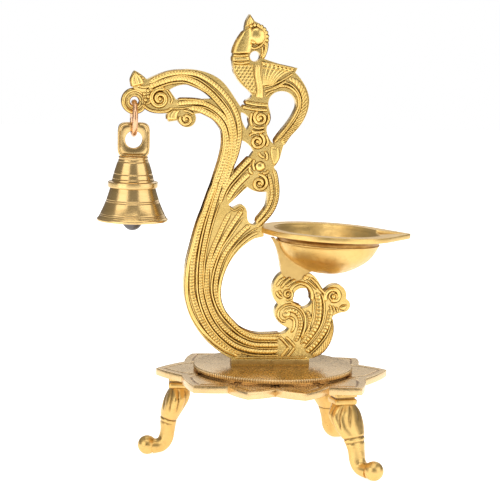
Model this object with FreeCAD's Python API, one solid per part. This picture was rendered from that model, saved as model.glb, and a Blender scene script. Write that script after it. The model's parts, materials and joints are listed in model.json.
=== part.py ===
"""Brass standing oil lamp: lotus plate on three cabriole legs, openwork bird scroll,
spouted oil cup and a hanging bell.  Millimetres.  +Z up, +X towards the cup's spout,
the scroll stands in the XZ plane.  The model is worked out about the plate's axis and
then moved, so that the origin is the middle of the footprint box, on the table."""
import FreeCAD, Part
import math
import os
from FreeCAD import Vector

# ---- stand ----
LEG_HEIGHT = 53.0          # table to the underside of the plate
# the legs are cast and fitted by hand, so they differ: the direction of each in degrees from the front, the
# radius of its block's middle, the reach of its knob past that, how far its shin bows out, its block's turn
LEGS = {"leg_left": (-97.0, 61.0, 21.0, -0.6, 0.0), "leg_right": (39.0, 61.0, 27.5, 4.4, -28.0),
        "leg_back": (133.5, 56.0, 26.0, 1.0, 0.0)}
LEG_BLOCK = 15.0           # side of the square top block
BLOCK_TALL = 7.0
BLOCK_GROOVE = 1.0         # width and depth of the groove round the block
KNOB_R = 6.3
KNOB_FLAT = 0.3            # how much is filed off under a knob
STUD_R = 2.5
STUD_IN_PLATE = 3.0
STUD_IN_LEG = 9.0
PLATE_THICK = 5.0
PLATE_TIP_R = 77.0
PLATE_VALLEY_R = 64.0
# hand cut petals, none quite alike: each one's tip and the valley after it, in degrees
PETALS = [(-97.0, -76.5), (-49.5, -35.0), (-20.5, -7.0), (7.0, 25.5), (39.0, 61.5),
          (90.5, 107.0), (123.0, 136.5), (150.0, 167.0), (184.0, 201.0), (217.5, 240.0)]
PETAL_SWELL = 1.3          # how far a petal's edge bows out from a straight line
DISC_R = 52.5
DISC_THICK = 3.8
DISC_STEP = 1.2            # height of the smaller foot under the disc's rim
DISC_STEP_IN = 2.5

# ---- scroll panel: outline heights are above the disc ----
PANEL_HEIGHT = 229.4       # disc to the tip of the crest
PANEL_THICK = 8.0
PANEL_DESIGN_HEIGHT = 229.4   # the height that the outline points below are drawn at
FOOT_EXTRA = 1.2           # the foot strip is this much thicker than the panel
FOOT_TALL = 4.5
FOOT_LEFT, FOOT_RIGHT = -28.0, 23.5   # ends of the foot strip on the outline drawing
LUG_R = 8.2
LUG_THICK = 5.0
LUG_HOLE_R = 3.1
LUG_AT = (-94.6, 172.4)    # lug centre on the outline drawing
SCREW_R = 2.0
SCREW_SPACING = 30.0
SCREW_IN_PANEL = 9.0
SCREW_HEAD_R = 3.8
SCREW_HEAD_TALL = 2.6
SCREW_SLOT = 1.0
WASHER_R = 5.2
WASHER_THICK = 1.0
CLEAR_HOLE_GAP = 0.3       # radial room round a screw's shank

# ---- oil cup ----
CUP_BOWL_R = 34.0
CUP_DEPTH = 28.3           # rim top to the outside of the bottom
CUP_WALL = 2.2
CUP_RIM_R = CUP_BOWL_R + 11.0
CUP_OPEN_R = CUP_BOWL_R + 2.0
CUP_SPOUT = CUP_RIM_R + 10.8    # cup axis to the spout's tip
CUP_SPOUT_END = 4.5        # metal left between the trough and the spout's tip
CUP_LIP = 3.4              # height of the rim's outer edge
CUP_TILT = 2.2             # degrees, spout down
CUP_BACK = (-10.2, 91.5)   # the rim's top edge where it is let into the panel, on the outline drawing
STEM_THICK = 6.5

# ---- ring, bell and clapper ----
RING_R = 10.4              # to the middle of the wire
RING_WIRE_R = 1.75
RING_SLIT = 1.5            # degrees left open where the ring was closed by hand
LINK_GAP = 0.3             # room between linked pieces
LOOP_WIDE = 20.6
LOOP_THICK = 4.4
LOOP_HOLE_R = 5.6
LOOP_BAR = 5.4             # metal above the loop's hole
LOOP_BELOW = 6.2           # metal below the loop's hole
LOOP_CORNER = 5.0
BELL_TALL = 41.0           # loop's foot to the mouth
BELL_RIM_R = 23.0
BELL_WALL = 2.2
BELL_CROWN = 3.5           # thickness of the bell's top
STAPLE_R = 3.6
STAPLE_WIRE_R = 1.1
STAPLE_LEG = 4.6
EYE_R = 3.4
ROD_WIRE_R = 1.0           # the clapper's eye
ROD_SHANK_R = 0.88         # the clapper's straight wire, drawn a little thinner than its eye
BALL_R = 6.8
BALL_BELOW_MOUTH = 6.2     # how far the ball hangs out of the bell

SCALE = PANEL_HEIGHT / PANEL_DESIGN_HEIGHT
PLATE_TOP = LEG_HEIGHT + PLATE_THICK
DISC_TOP = PLATE_TOP + DISC_THICK
X, Y, Z = Vector(1, 0, 0), Vector(0, 1, 0), Vector(0, 0, 1)


def place(point):
    """A point of the outline drawing (x, height above the disc) in the lamp's space."""
    return Vector(point[0] * SCALE, 0, DISC_TOP + point[1] * SCALE)


def run(points):
    """One stretch of an outline: a line through two points, an arc through three, a spline through more."""
    spots = [place(p) for p in points]
    if len(spots) == 2:
        return Part.makeLine(spots[0], spots[1])
    if len(spots) == 3:
        return Part.Arc(*spots).toShape()
    curve = Part.BSplineCurve()
    curve.interpolate(spots)
    return curve.toShape()


def outward(solid):
    """The same solid with its faces pointing out."""
    return solid if solid.Volume > 0 else solid.reversed()


def slab(edges, thick):
    """A closed outline in the XZ plane, made thick evenly to both sides."""
    face = Part.Face(Part.Wire(Part.__sortEdges__(edges)))
    face.translate(Y * (-thick / 2))
    return outward(face.extrude(Y * thick))


def rod(radius, length, base, direction=Z):
    return Part.makeCylinder(radius, length, base, direction)


def turned(profile, centre):
    """A closed profile of (radius, height) points and arcs turned round the vertical through centre."""
    wire = Part.Wire(profile)
    solid = outward(Part.Face(wire).revolve(Vector(0, 0, 0), Z, 360))
    solid.translate(centre)
    return solid


def chain(points):
    """Profile edges through (radius, height) points; a list among them is an arc's or a spline's points."""
    edges, last = [], None
    for item in points:
        stretch = item if isinstance(item, list) else [item]
        spots = [Vector(r, 0, z) for r, z in stretch]
        if last is not None:
            spots = [last] + spots
        if len(spots) == 2:
            edges.append(Part.makeLine(spots[0], spots[1]))
        elif len(spots) == 3:
            edges.append(Part.Arc(*spots).toShape())
        elif len(spots) > 3:
            curve = Part.BSplineCurve()
            curve.interpolate(spots)
            edges.append(curve.toShape())
        last = spots[-1]
    return edges


def polar(angle, radius, z=0.0):
    """A point at an angle from the front (towards -Y), positive to the right."""
    a = math.radians(angle)
    return Vector(radius * math.sin(a), -radius * math.cos(a), z)


# ---------------------------------------------------------------- stand
def screw_spots():
    """The two screws stand evenly either side of the foot strip's middle."""
    middle = place(((FOOT_LEFT + FOOT_RIGHT) / 2, 0)).x
    return [X * (middle - SCREW_SPACING / 2), X * (middle + SCREW_SPACING / 2)]


def lotus_plate():
    """Flat plate with pointed petals, holes for the panel screws and blind holes for the leg studs."""
    corners = []
    for tip, valley in PETALS:
        corners += [polar(tip, PLATE_TIP_R), polar(valley, PLATE_VALLEY_R)]
    edges = []
    for p, q in zip(corners, corners[1:] + corners[:1]):
        middle = (p + q) * 0.5
        swell = (p + q).normalize() * PETAL_SWELL
        edges.append(Part.Arc(p, middle + swell, q).toShape())
    plate = Part.Face(Part.Wire(edges)).extrude(Z * PLATE_THICK)
    plate.translate(Z * LEG_HEIGHT)
    for spot in screw_spots():
        plate = plate.cut(rod(SCREW_R + CLEAR_HOLE_GAP, PLATE_THICK, spot + Z * LEG_HEIGHT))
    for angle, top_r, _, _, _ in LEGS.values():
        plate = plate.cut(rod(STUD_R, STUD_IN_PLATE, polar(angle, top_r, LEG_HEIGHT)))
    return plate


def seat_disc():
    """Round disc with a smaller step under its rim, so the rim stands clear of the plate."""
    profile = chain([(0, 0), (DISC_R - DISC_STEP_IN, 0), (DISC_R - DISC_STEP_IN, DISC_STEP),
                     (DISC_R, DISC_STEP), (DISC_R, DISC_THICK - 0.4), (DISC_R - 0.4, DISC_THICK),
                     (0, DISC_THICK), (0, 0)])
    disc = turned(profile, Z * PLATE_TOP)
    for spot in screw_spots():
        disc = disc.cut(rod(SCREW_R + CLEAR_HOLE_GAP, DISC_THICK, spot + Z * PLATE_TOP))
    return disc


def between(rows, steps):
    """The rows with steps - 1 more worked out between each two, on a smooth cubic through them all."""
    padded = [rows[0]] + list(rows) + [rows[-1]]
    out = []
    for a, b, c, d in zip(padded, padded[1:], padded[2:], padded[3:]):
        for i in range(steps):
            t = i / steps
            out.append([0.5 * (2 * q + (r - p) * t + (2 * p - 5 * q + 4 * r - s) * t ** 2
                               + (3 * q - p - 3 * r + s) * t ** 3) for p, q, r, s in zip(a, b, c, d)])
    return out + [list(rows[-1])]


def oval(centre, half_out, half_side, lean):
    """An oval section of a leg: half_out along the leg's reach, half_side across, tipped by lean degrees."""
    turns = [math.radians(45 * i) for i in range(8)]
    curve = Part.BSplineCurve()
    curve.interpolate([Vector(half_out * math.cos(t), half_side * math.sin(t), 0) for t in turns], True)
    wire = Part.Wire(curve.toShape())
    wire.rotate(Vector(0, 0, 0), Y, lean)
    wire.translate(centre)
    return wire


def leg(angle, top_r, reach, bow, block_turn):
    """Cabriole leg: square moulded block, broad knee, slim shin and a knob foot turned outwards."""
    h = LEG_HEIGHT - BLOCK_TALL
    # how far out, height, half size out, half size across, lean
    sections = [(0.0, h, 6.4, 7.6, 0), (1.4 + bow * 0.1, h * 0.86, 8.2, 12.4, -4),
                (4.6 + bow * 0.3, h * 0.70, 7.4, 11.6, -8), (7.4 + bow * 0.65, h * 0.53, 5.8, 8.4, -6),
                (8.2 + bow, h * 0.36, 4.9, 6.2, 4), (9.6 + bow, h * 0.22, 4.9, 5.6, -28),
                (4.8 + bow * 0.5 + reach * 0.37, h * 0.135, 4.8, 5.2, -60),
                (reach * 0.86, 5.4, 5.2, 5.4, -80)]
    wires = [oval(Vector(out, 0, z), a, b, lean) for out, z, a, b, lean in between(sections, 3)]
    body = outward(Part.makeLoft(wires, True, True))
    knob = Part.makeSphere(KNOB_R, Vector(reach, 0, KNOB_R - KNOB_FLAT))
    block = Part.makeBox(LEG_BLOCK, LEG_BLOCK, BLOCK_TALL, Vector(-LEG_BLOCK / 2, -LEG_BLOCK / 2, h))
    wide, core = LEG_BLOCK + 2, LEG_BLOCK - 2 * BLOCK_GROOVE
    groove = Part.makeBox(wide, wide, BLOCK_GROOVE, Vector(-wide / 2, -wide / 2, 0))
    groove = groove.cut(Part.makeBox(core, core, BLOCK_GROOVE, Vector(-core / 2, -core / 2, 0)))
    groove.translate(Z * (h + BLOCK_TALL * 0.45))
    block = block.cut(groove)
    block.rotate(Vector(0, 0, 0), Z, block_turn)
    solid = body.fuse([knob, block]).removeSplitter()
    table = Part.makeBox(200, 200, 20, Vector(-100, -100, -20))
    solid = solid.cut(table).cut(rod(STUD_R, STUD_IN_LEG, Vector(0, 0, LEG_HEIGHT - STUD_IN_LEG)))
    solid.rotate(Vector(0, 0, 0), Z, angle - 90)
    solid.translate(polar(angle, top_r))
    return solid


def leg_studs():
    """One short stud per leg, screwed into a blind hole under the plate."""
    length = STUD_IN_LEG + STUD_IN_PLATE
    return Part.makeCompound([rod(STUD_R, length, polar(angle, top_r, LEG_HEIGHT - STUD_IN_LEG))
                              for angle, top_r, _, _, _ in LEGS.values()])


def panel_screws():
    """Slotted screws from below, through the plate and the disc into the panel's foot."""
    screws = []
    base = LEG_HEIGHT - WASHER_THICK
    for spot in screw_spots():
        shank = rod(SCREW_R, DISC_TOP + SCREW_IN_PANEL - base, spot + Z * base)
        head = rod(SCREW_HEAD_R, SCREW_HEAD_TALL, spot + Z * (base - SCREW_HEAD_TALL))
        slot = Part.makeBox(2 * SCREW_HEAD_R, SCREW_SLOT, SCREW_SLOT,
                            spot + Vector(-SCREW_HEAD_R, -SCREW_SLOT / 2, base - SCREW_HEAD_TALL))
        screws.append(shank.fuse(head).cut(slot).removeSplitter())
    return Part.makeCompound(screws)


def panel_washers():
    washers = []
    for spot in screw_spots():
        base = spot + Z * (LEG_HEIGHT - WASHER_THICK)
        hole = rod(SCREW_R + CLEAR_HOLE_GAP, WASHER_THICK, base)
        washers.append(rod(WASHER_R, WASHER_THICK, base).cut(hole))
    return Part.makeCompound(washers)


# ---------------------------------------------------------------- scroll panel
def by_lug(across, up):
    """A point of the outline drawing beside the lug, in shares of the lug's radius from its middle."""
    return (LUG_AT[0] + across * LUG_R / SCALE, LUG_AT[1] + up * LUG_R / SCALE)


PANEL_OUTLINE = [
    # foot, and the big curve up the left side to the arm
    [(FOOT_LEFT, 0), (FOOT_LEFT, FOOT_TALL)],
    [(FOOT_LEFT, FOOT_TALL), (-41.9, 13.6), (-55.6, 31.7), (-60.5, 55.1), (-56.8, 78.6), (-47.2, 108.3),
     (-40.1, 128.2), (-36.5, 146.6), (-41, 159), (-49.5, 164.8), (-55.7, 164.9)],
    # lobe, small leaf and scroll under the arm
    [(-55.7, 164.9), (-60.6, 156.2), (-66.3, 160.6)],
    [(-66.3, 160.6), (-72.7, 159.6)],
    [(-72.7, 159.6), (-73.8, 165.5)],
    [(-73.8, 165.5), (-81.4, 165.4), by_lug(0.78, -0.37)],
    # round the lug, and the leaf above it
    [by_lug(0.78, -0.37), by_lug(0.73, 0.51), by_lug(0, 0.915)],
    [by_lug(0, 0.915), (-97.2, 186.4), (-94.7, 192)],
    [(-94.7, 192), (-90.6, 189.6), (-86.8, 186.3)],
    # over the arm, down to the bird's pedestal
    [(-86.8, 186.3), (-77.9, 190.4), (-65, 193.2), (-52, 192.5), (-39.5, 187.1), (-30, 175.6), (-26, 169.9)],
    [(-26, 169.9), (-23.0, 170.6), (-22.8, 173.8)],
    # breast, neck and crest
    [(-22.8, 173.8), (-18.9, 177.8), (-22.8, 181.8), (-29.2, 188.9), (-32.0, 199.6), (-30.8, 207.3),
     (-26.4, 216.4), (-24.5, 219)],
    [(-24.5, 219), (-23.6, 224.4), (-21.2, 229.4)],
    [(-21.2, 229.4), (-18.2, 225.1)],
    # face, beak, wing
    [(-18.2, 225.1), (-13, 221.7), (-9.1, 215.8), (-9.3, 208.7), (-11.3, 201)],
    [(-11.3, 201), (0.2, 197.6), (10.6, 195.5)],
    [(10.6, 195.5), (9.1, 192.6)],
    # tail loop and the right-hand stem
    [(9.1, 192.6), (14.3, 186.6), (18.8, 175), (16.8, 164.6), (9.9, 154.1), (2.9, 145.6), (0.5, 137.1),
     (-3.3, 131.2)],
    [(-3.3, 131.2), (0.2, 122.1), (0.9, 114.3), (-3.2, 101.1), (-9.2, 93.6)],
    [(-9.2, 93.6), (-8.8, 85.6)],
    [(-8.8, 85.6), (-14.8, 84.2)],
    # inside of the big curve
    [(-14.8, 84.2), (-25.6, 75.7), (-34.1, 60.5), (-35.4, 43), (-26.8, 28), (-11.9, 21.2)],
    [(-11.9, 21.2), (2, 21.2)],
    [(2, 21.2), (7.2, 22.2), (9.6, 24.9)],
    # lower and upper rounds of the right-hand cluster, and the seat of the cup's stem
    [(9.6, 24.9), (4.0, 27.7), (0.3, 32.3), (-0.1, 36.3), (2.0, 40.7)],
    [(2.0, 40.7), (-2.2, 50.6), (3.7, 61.7)],
    [(3.7, 61.7), (11.8, 55.9), (20.5, 61.2)],
    [(20.5, 61.2), (24.6, 60.2), (29.5, 54.1), (33, 49.4)],
    [(33, 49.4), (41.9, 53.8), (47.0, 44.5)],
    [(47.0, 44.5), (50.0, 40.0), (45.8, 35.6)],
    [(45.8, 35.6), (40.8, 34.2), (37.3, 31.8)],
    [(37.3, 31.8), (39.6, 25.5), (37.7, 16.9), (30.9, 7.7), (FOOT_RIGHT, FOOT_TALL)],
    [(FOOT_RIGHT, FOOT_TALL), (FOOT_RIGHT, 0)],
    [(FOOT_RIGHT, 0), (FOOT_LEFT, 0)],
]

PANEL_WINDOWS = {
    "arm": [[(-72.4, 180), (-67.9, 173.8)], [(-67.9, 173.8), (-45.2, 174.6)],
            [(-45.2, 174.6), (-46.8, 178.2), (-56.5, 183.1), (-64.7, 183.4), (-72.4, 180)]],
    "tail_loop": [[(-3.5, 145.8), (-6.7, 149.4), (-8.6, 156.7), (-6.3, 164.3), (-8, 171.6), (-6.0, 177.6),
                   (0, 180.4), (7.6, 177.8), (10.4, 172.2), (8.5, 165.6), (0.4, 153.7), (-3.5, 145.8)]],
    "lens": [[(-25.8, 166.3), (-19.9, 160.6), (-21.7, 155)], [(-21.7, 155), (-24.6, 160), (-25.8, 166.3)]],
    "triangle": [[(-26.1, 148.5), (-21.2, 146.4), (-16.8, 141)],
                 [(-16.8, 141), (-22.4, 133.3), (-30.4, 124.4)],
                 [(-30.4, 124.4), (-27.9, 138.0), (-26.1, 148.5)]],
    "teardrop": [[(-32.4, 106.4), (-20.4, 118)], [(-20.4, 118), (-14.4, 115), (-7.4, 115.2)],
                 [(-7.4, 115.2), (-8.6, 103.1), (-15.3, 93)],
                 [(-15.3, 93), (-20, 98.4), (-20.7, 103.3), (-24, 106.3), (-28.8, 104.3), (-32.4, 106.4)]],
    "cluster": [[(17.6, 51.6), (11.7, 45.6), (17.9, 38.4)], [(17.9, 38.4), (24.4, 42.6), (17.6, 51.6)]],
    "beak": [[(-17.4, 205.9), (-20.8, 202.5), (-17.4, 199.1)],
             [(-17.4, 199.1), (-14.0, 202.5), (-17.4, 205.9)]],
}


def lug_spot():
    return place(LUG_AT)


def scroll_panel(cup_space, stem):
    """The openwork casting: outline, foot strip and lug, with the windows, holes and cup seat cut out."""
    panel = slab([run(stretch) for stretch in PANEL_OUTLINE], PANEL_THICK)
    strip_thick = PANEL_THICK + FOOT_EXTRA
    strip = Part.makeBox((FOOT_RIGHT - FOOT_LEFT) * SCALE, strip_thick, FOOT_TALL,
                         place((FOOT_LEFT, 0)) - Y * (strip_thick / 2))
    lug = rod(LUG_R, LUG_THICK, lug_spot() - Y * (LUG_THICK / 2), Y)
    panel = panel.fuse([strip, lug]).removeSplitter()
    for window in PANEL_WINDOWS.values():
        panel = panel.cut(slab([run(stretch) for stretch in window], 3 * PANEL_THICK))
    panel = panel.cut(rod(LUG_HOLE_R, 3 * LUG_THICK, lug_spot() - Y * (1.5 * LUG_THICK), Y))
    for spot in screw_spots():
        panel = panel.cut(rod(SCREW_R, SCREW_IN_PANEL, spot + Z * DISC_TOP))
    return panel.cut(cup_space).cut(stem)


# ---------------------------------------------------------------- cup
def cup_centre():
    """Middle of the rim's top: a rim's radius from the place where its back is let into the panel."""
    tilt = math.radians(CUP_TILT)
    return place(CUP_BACK) + X * (CUP_RIM_R * math.cos(tilt)) - Z * (CUP_RIM_R * math.sin(tilt))


def tilt_cup(shape):
    """From the cup's own space, rim level and centred on the origin, to its place on the panel."""
    shape.rotate(Vector(0, 0, 0), Y, CUP_TILT)
    shape.translate(cup_centre())
    return shape


def spout_plan(radius, tip, low, high):
    """A round with its spout: the two tangents from the tip to the circle, as a slab from low to high."""
    a = math.acos(radius / tip)
    left = Vector(radius * math.cos(a), radius * math.sin(a), 0)
    right = Vector(left.x, -left.y, 0)
    nose = 1.4
    nose_left, nose_right = Vector(tip - nose * 0.43, nose, 0), Vector(tip - nose * 0.43, -nose, 0)
    edges = [Part.makeLine(nose_left, left), Part.Arc(left, Vector(-radius, 0, 0), right).toShape(),
             Part.makeLine(right, nose_right), Part.Arc(nose_right, Vector(tip, 0, 0), nose_left).toShape()]
    solid = outward(Part.Face(Part.Wire(edges)).extrude(Z * (high - low)))
    solid.translate(Z * low)
    return solid


def cup_outside():
    """The cup with nothing hollowed out: bowl, neck and spouted rim."""
    r, d = CUP_BOWL_R, CUP_DEPTH
    bowl = turned(chain([(0, -d), [(r * 0.26, -d + 0.3), (r * 0.64, -d * 0.80), (r * 0.835, -d * 0.62),
                                   (r * 0.985, -d * 0.30)],
                         (r + 0.9, -d * 0.28), (r + 2.6, -CUP_LIP - 1.8), (r + 5.0, -CUP_LIP - 0.6),
                         (CUP_RIM_R - 2.0, -CUP_LIP),
                         (0, -CUP_LIP), (0, -d)]), Vector(0, 0, 0))
    rim = spout_plan(CUP_RIM_R, CUP_SPOUT, -CUP_LIP, 0)
    return bowl.fuse(rim)


def oil_cup():
    """Spouted cup: hollow bowl, flat flange and a trough down the spout."""
    r, d, w = CUP_BOWL_R, CUP_DEPTH, CUP_WALL
    profile = [(0, -d + w), [(r * 0.24, -d + w + 0.3), (r * 0.59, -d * 0.80 + w),
                             (r * 0.775, -d * 0.62 + w), (r * 0.985 - w, -d * 0.28)],
               [(r - w + 0.6, -d * 0.20), (CUP_OPEN_R, -0.9)], (CUP_OPEN_R, 1), (0, 1), (0, -d + w)]
    hollow = turned(chain(profile), Vector(0, 0, 0))
    trough = spout_plan(CUP_OPEN_R * 0.80, CUP_SPOUT - CUP_SPOUT_END, -CUP_LIP * 0.55, 1)
    return tilt_cup(cup_outside().cut(hollow).cut(trough).removeSplitter())


def cup_stem(cup_space):
    """Smooth web under the cup, shaped to the bowl above and seated on the panel's cluster below."""
    centre = cup_centre()
    axis, bottom = centre.x / SCALE, (centre.z - CUP_DEPTH - DISC_TOP) / SCALE
    outline = [[(-3.6, 84.6), (0.4, 77.0), (2.4, 69.0), (3.7, 61.7)],
               [(3.7, 61.7), (11.8, 55.9), (20.5, 61.2)],
               [(20.5, 61.2), (axis, bottom + 5.2)],
               [(axis, bottom + 5.2), (axis, 84.6)],
               [(axis, 84.6), (-3.6, 84.6)]]
    web = slab([run(stretch) for stretch in outline], STEM_THICK)
    pieces = web.cut(cup_space).Solids
    return min(pieces, key=lambda s: s.CenterOfMass.x)


# ---------------------------------------------------------------- ring, bell, clapper
def ring_centre():
    """The ring's wire lies LINK_GAP above the bottom of the lug's hole, half the lug's width allowed for."""
    half = LUG_THICK / 2
    sag = RING_R - RING_WIRE_R
    sag = sag - math.sqrt(sag ** 2 - half ** 2)
    return lug_spot() - Z * (LUG_HOLE_R - LINK_GAP - sag) + Z * RING_WIRE_R - Z * RING_R


def link(radius, wire, centre, normal, slit=0.0):
    """A round wire ring; normal is the way through it, slit the degrees left open at its side."""
    side = Z.cross(normal)
    section = Part.Face(Part.Wire(Part.makeCircle(wire, centre + side * radius, Z)))
    return section.revolve(centre, normal, 360 - slit)


def hanging_ring():
    return link(RING_R, RING_WIRE_R, ring_centre(), X, RING_SLIT)


def loop_hole_z():
    """Middle of the loop's hole: the bar above it rests inside the ring's foot, LINK_GAP clear."""
    inner = RING_R - RING_WIRE_R
    lift = inner - math.sqrt(inner ** 2 - (LOOP_THICK / 2) ** 2)
    return ring_centre().z - inner + lift + LINK_GAP - LOOP_HOLE_R


def loop_foot_z():
    return loop_hole_z() - LOOP_HOLE_R - LOOP_BELOW


def mouth_z():
    return loop_foot_z() - BELL_TALL


def bell_axis(z):
    return Vector(lug_spot().x, 0, z)


def bell_body():
    """Turned bell with a collar and a flared lip, and its flat hanging loop cast on top."""
    foot, mouth = loop_foot_z(), mouth_z()
    r, t, w = BELL_RIM_R, BELL_TALL, BELL_WALL
    outside = [(0, 0), (r - w - 0.6, 0), (r, 0.5), (r, 1.5), (r - 0.9, 2.2),
               [(r * 0.845, t * 0.19), (r * 0.73, t * 0.35), (r * 0.635, t * 0.53)],
               (r * 0.70, t * 0.535), (r * 0.70, t * 0.625), (r * 0.60, t * 0.63),
               [(r * 0.535, t * 0.72), (r * 0.475, t * 0.84), (r * 0.40, t * 0.985)],
               (r * 0.37, t), (0, t), (0, 0)]
    inside = [(0, 0), (r - w - 0.6, 0),
              [(r * 0.845 - w, t * 0.17), (r * 0.73 - w, t * 0.35),
               (r * 0.60 - w, t * 0.58), (r * 0.475 - w, t * 0.84)],
              (r * 0.30, t - BELL_CROWN - 0.6), (0, t - BELL_CROWN), (0, 0)]
    bell = turned(chain(outside), bell_axis(mouth)).cut(turned(chain(inside), bell_axis(mouth)))
    sunk = 1.0
    tall = sunk + LOOP_BELOW + 2 * LOOP_HOLE_R + LOOP_BAR
    plate = Part.makeBox(LOOP_WIDE, LOOP_THICK, tall,
                         bell_axis(foot - sunk) - X * (LOOP_WIDE / 2) - Y * (LOOP_THICK / 2))
    upright = [e for e in plate.Edges if abs(e.tangentAt(e.FirstParameter).y) > 0.9]
    top = [e for e in upright if e.CenterOfMass.z > foot + tall / 2]
    plate = plate.makeFillet(LOOP_CORNER, top)
    base = turned(chain([(0, -1.2), (r * 0.40, -1.2), (r * 0.42, 0.6), (r * 0.36, 1.4), (0, 1.4), (0, -1.2)]),
                  bell_axis(foot))
    plate = plate.cut(rod(LOOP_HOLE_R, 3 * LOOP_THICK, bell_axis(loop_hole_z()) - Y * (1.5 * LOOP_THICK), Y))
    return bell.fuse([plate, base]).removeSplitter().cut(clapper_staple())


def staple_centre():
    """Middle of the staple's bend, just under the bell's crown."""
    return bell_axis(loop_foot_z() - BELL_CROWN - 2 * STAPLE_WIRE_R)


def clapper_staple():
    """Bent wire let into the crown, for the clapper to hang on."""
    c = staple_centre()
    bend = Part.Face(Part.Wire(Part.makeCircle(STAPLE_WIRE_R, c + X * STAPLE_R, Z))).revolve(c, Y, 180)
    legs = [rod(STAPLE_WIRE_R, STAPLE_LEG, c + X * (s * STAPLE_R)) for s in (-1, 1)]
    return bend.fuse(legs).removeSplitter()


def clapper_pivot():
    """Middle of the clapper's eye wire where it hangs in the staple's bend."""
    c = staple_centre()
    sag = EYE_R - ROD_WIRE_R
    sag = sag - math.sqrt(sag ** 2 - STAPLE_WIRE_R ** 2)
    return c - Z * (STAPLE_R - STAPLE_WIRE_R - LINK_GAP - ROD_WIRE_R - sag)


def ball_centre():
    return bell_axis(mouth_z() - BALL_BELOW_MOUTH + BALL_R)


def clapper_rod():
    """Wire with an eye bent at its top, down into the ball."""
    eye_centre = clapper_pivot() - Z * EYE_R
    eye = link(EYE_R, ROD_WIRE_R, eye_centre, X)
    low = ball_centre().z - BALL_R * 0.4
    wire = rod(ROD_SHANK_R, eye_centre.z - EYE_R - low, bell_axis(low))
    return eye.fuse(wire).removeSplitter()


def clapper_ball(wire):
    """Iron ball cast round the end of the wire."""
    ball = Part.makeSphere(BALL_R, ball_centre())
    return ball.cut(wire)


# ---------------------------------------------------------------- all together
def build():
    cup_space = tilt_cup(cup_outside())
    stem = cup_stem(cup_space)
    wire = clapper_rod()
    parts = {"lotus_plate": lotus_plate(), "seat_disc": seat_disc()}
    for name, sizes in LEGS.items():
        parts[name] = leg(*sizes)
    parts.update(leg_studs=leg_studs(), panel_screws=panel_screws(), panel_washers=panel_washers(),
                 scroll_panel=scroll_panel(cup_space, stem), cup_stem=stem, oil_cup=oil_cup(),
                 hanging_ring=hanging_ring(), bell_body=bell_body(), clapper_staple=clapper_staple(),
                 clapper_rod=wire, clapper_ball=clapper_ball(wire))
    return parts


def main():
    os.makedirs("parts", exist_ok=True)
    parts = build()
    box = FreeCAD.BoundBox()
    for shape in parts.values():
        box.add(shape.optimalBoundingBox(False, False))
    move = Vector(-box.Center.x, -box.Center.y, -box.ZMin)
    for name, shape in parts.items():
        shape.translate(move)
        shape.exportStep("parts/%s.step" % name)
        print("%-16s solids %d  valid %s" % (name, len(shape.Solids), shape.isValid()))
    spots = {"plate_axis": Vector(0, 0, 0), "disc_top": Z * DISC_TOP, "cup_rim": cup_centre(),
             "rest_face": polar(LEGS["leg_left"][0], LEGS["leg_left"][1] + LEGS["leg_left"][2]),
             "lug_hole": lug_spot(), "ring_centre": ring_centre(),
             "staple_centre": staple_centre(), "mouth": bell_axis(mouth_z())}
    for name, spot in spots.items():
        p = spot + move
        print("%-16s %.3f %.3f %.3f" % (name, p.x, p.y, p.z))
    print("size %.1f x %.1f x %.1f mm" % (box.XLength, box.YLength, box.ZLength))


main()
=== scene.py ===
# %% [markdown]
# # A standing brass lamp with a bird scroll and a bell
#
# The lamp is a lotus plate on three legs, a round seat disc, one openwork casting with a bird on top,
# a spouted oil cup and a small bell on a ring.  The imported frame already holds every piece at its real
# size.  This lesson dresses that frame: it rebuilds the visible skins with the chased ornament,
# mouldings and worn brass that a maker's bench leaves on them.

# %% Load the frame
import json
import math
import bmesh
import bpy
import numpy as np
from mathutils import Matrix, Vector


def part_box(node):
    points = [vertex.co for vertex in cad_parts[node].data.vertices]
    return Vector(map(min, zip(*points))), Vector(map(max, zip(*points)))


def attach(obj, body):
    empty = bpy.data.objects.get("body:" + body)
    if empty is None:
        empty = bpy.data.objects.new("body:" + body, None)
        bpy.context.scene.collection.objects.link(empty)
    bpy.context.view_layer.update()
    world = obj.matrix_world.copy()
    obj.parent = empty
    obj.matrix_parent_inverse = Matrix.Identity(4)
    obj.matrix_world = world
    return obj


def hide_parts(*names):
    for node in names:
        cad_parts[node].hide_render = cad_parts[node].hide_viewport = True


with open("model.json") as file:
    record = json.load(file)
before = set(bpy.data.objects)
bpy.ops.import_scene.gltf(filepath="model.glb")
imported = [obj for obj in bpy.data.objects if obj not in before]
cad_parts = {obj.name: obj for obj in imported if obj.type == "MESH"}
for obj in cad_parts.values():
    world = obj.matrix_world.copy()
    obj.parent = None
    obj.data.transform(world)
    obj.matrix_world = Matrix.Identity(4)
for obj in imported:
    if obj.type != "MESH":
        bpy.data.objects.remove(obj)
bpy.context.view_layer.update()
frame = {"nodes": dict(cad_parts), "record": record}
MM = 0.001
print("frame loaded:", len(frame["nodes"]), "nodes")

# %% [markdown]
# ## Where things are
#
# The scroll was drawn flat, on a sheet whose origin is the lamp's axis at the top of the seat disc: x to
# the right, height upwards, both in millimetres.  Most ornament is easiest to place on that drawing, so
# one function turns (x, height, depth) into the lamp's space.  The axis and the disc's top are read from
# the frame, so the drawing follows the casting if the casting moves.

# %% The drawing sheet
disc_low, disc_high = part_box("seat_disc")
AXIS_X = (disc_low.x + disc_high.x) / 2
AXIS_Y = (disc_low.y + disc_high.y) / 2
DISC_TOP = disc_high.z
PANEL_HALF = 4.0       # half the casting's thickness, mm


def space(x, height, depth):
    """Drawing millimetres to metres in the lamp's space; depth is how far towards the viewer (-Y)."""
    return np.stack([AXIS_X + x * MM, AXIS_Y - depth * MM, DISC_TOP + height * MM], -1)


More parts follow.
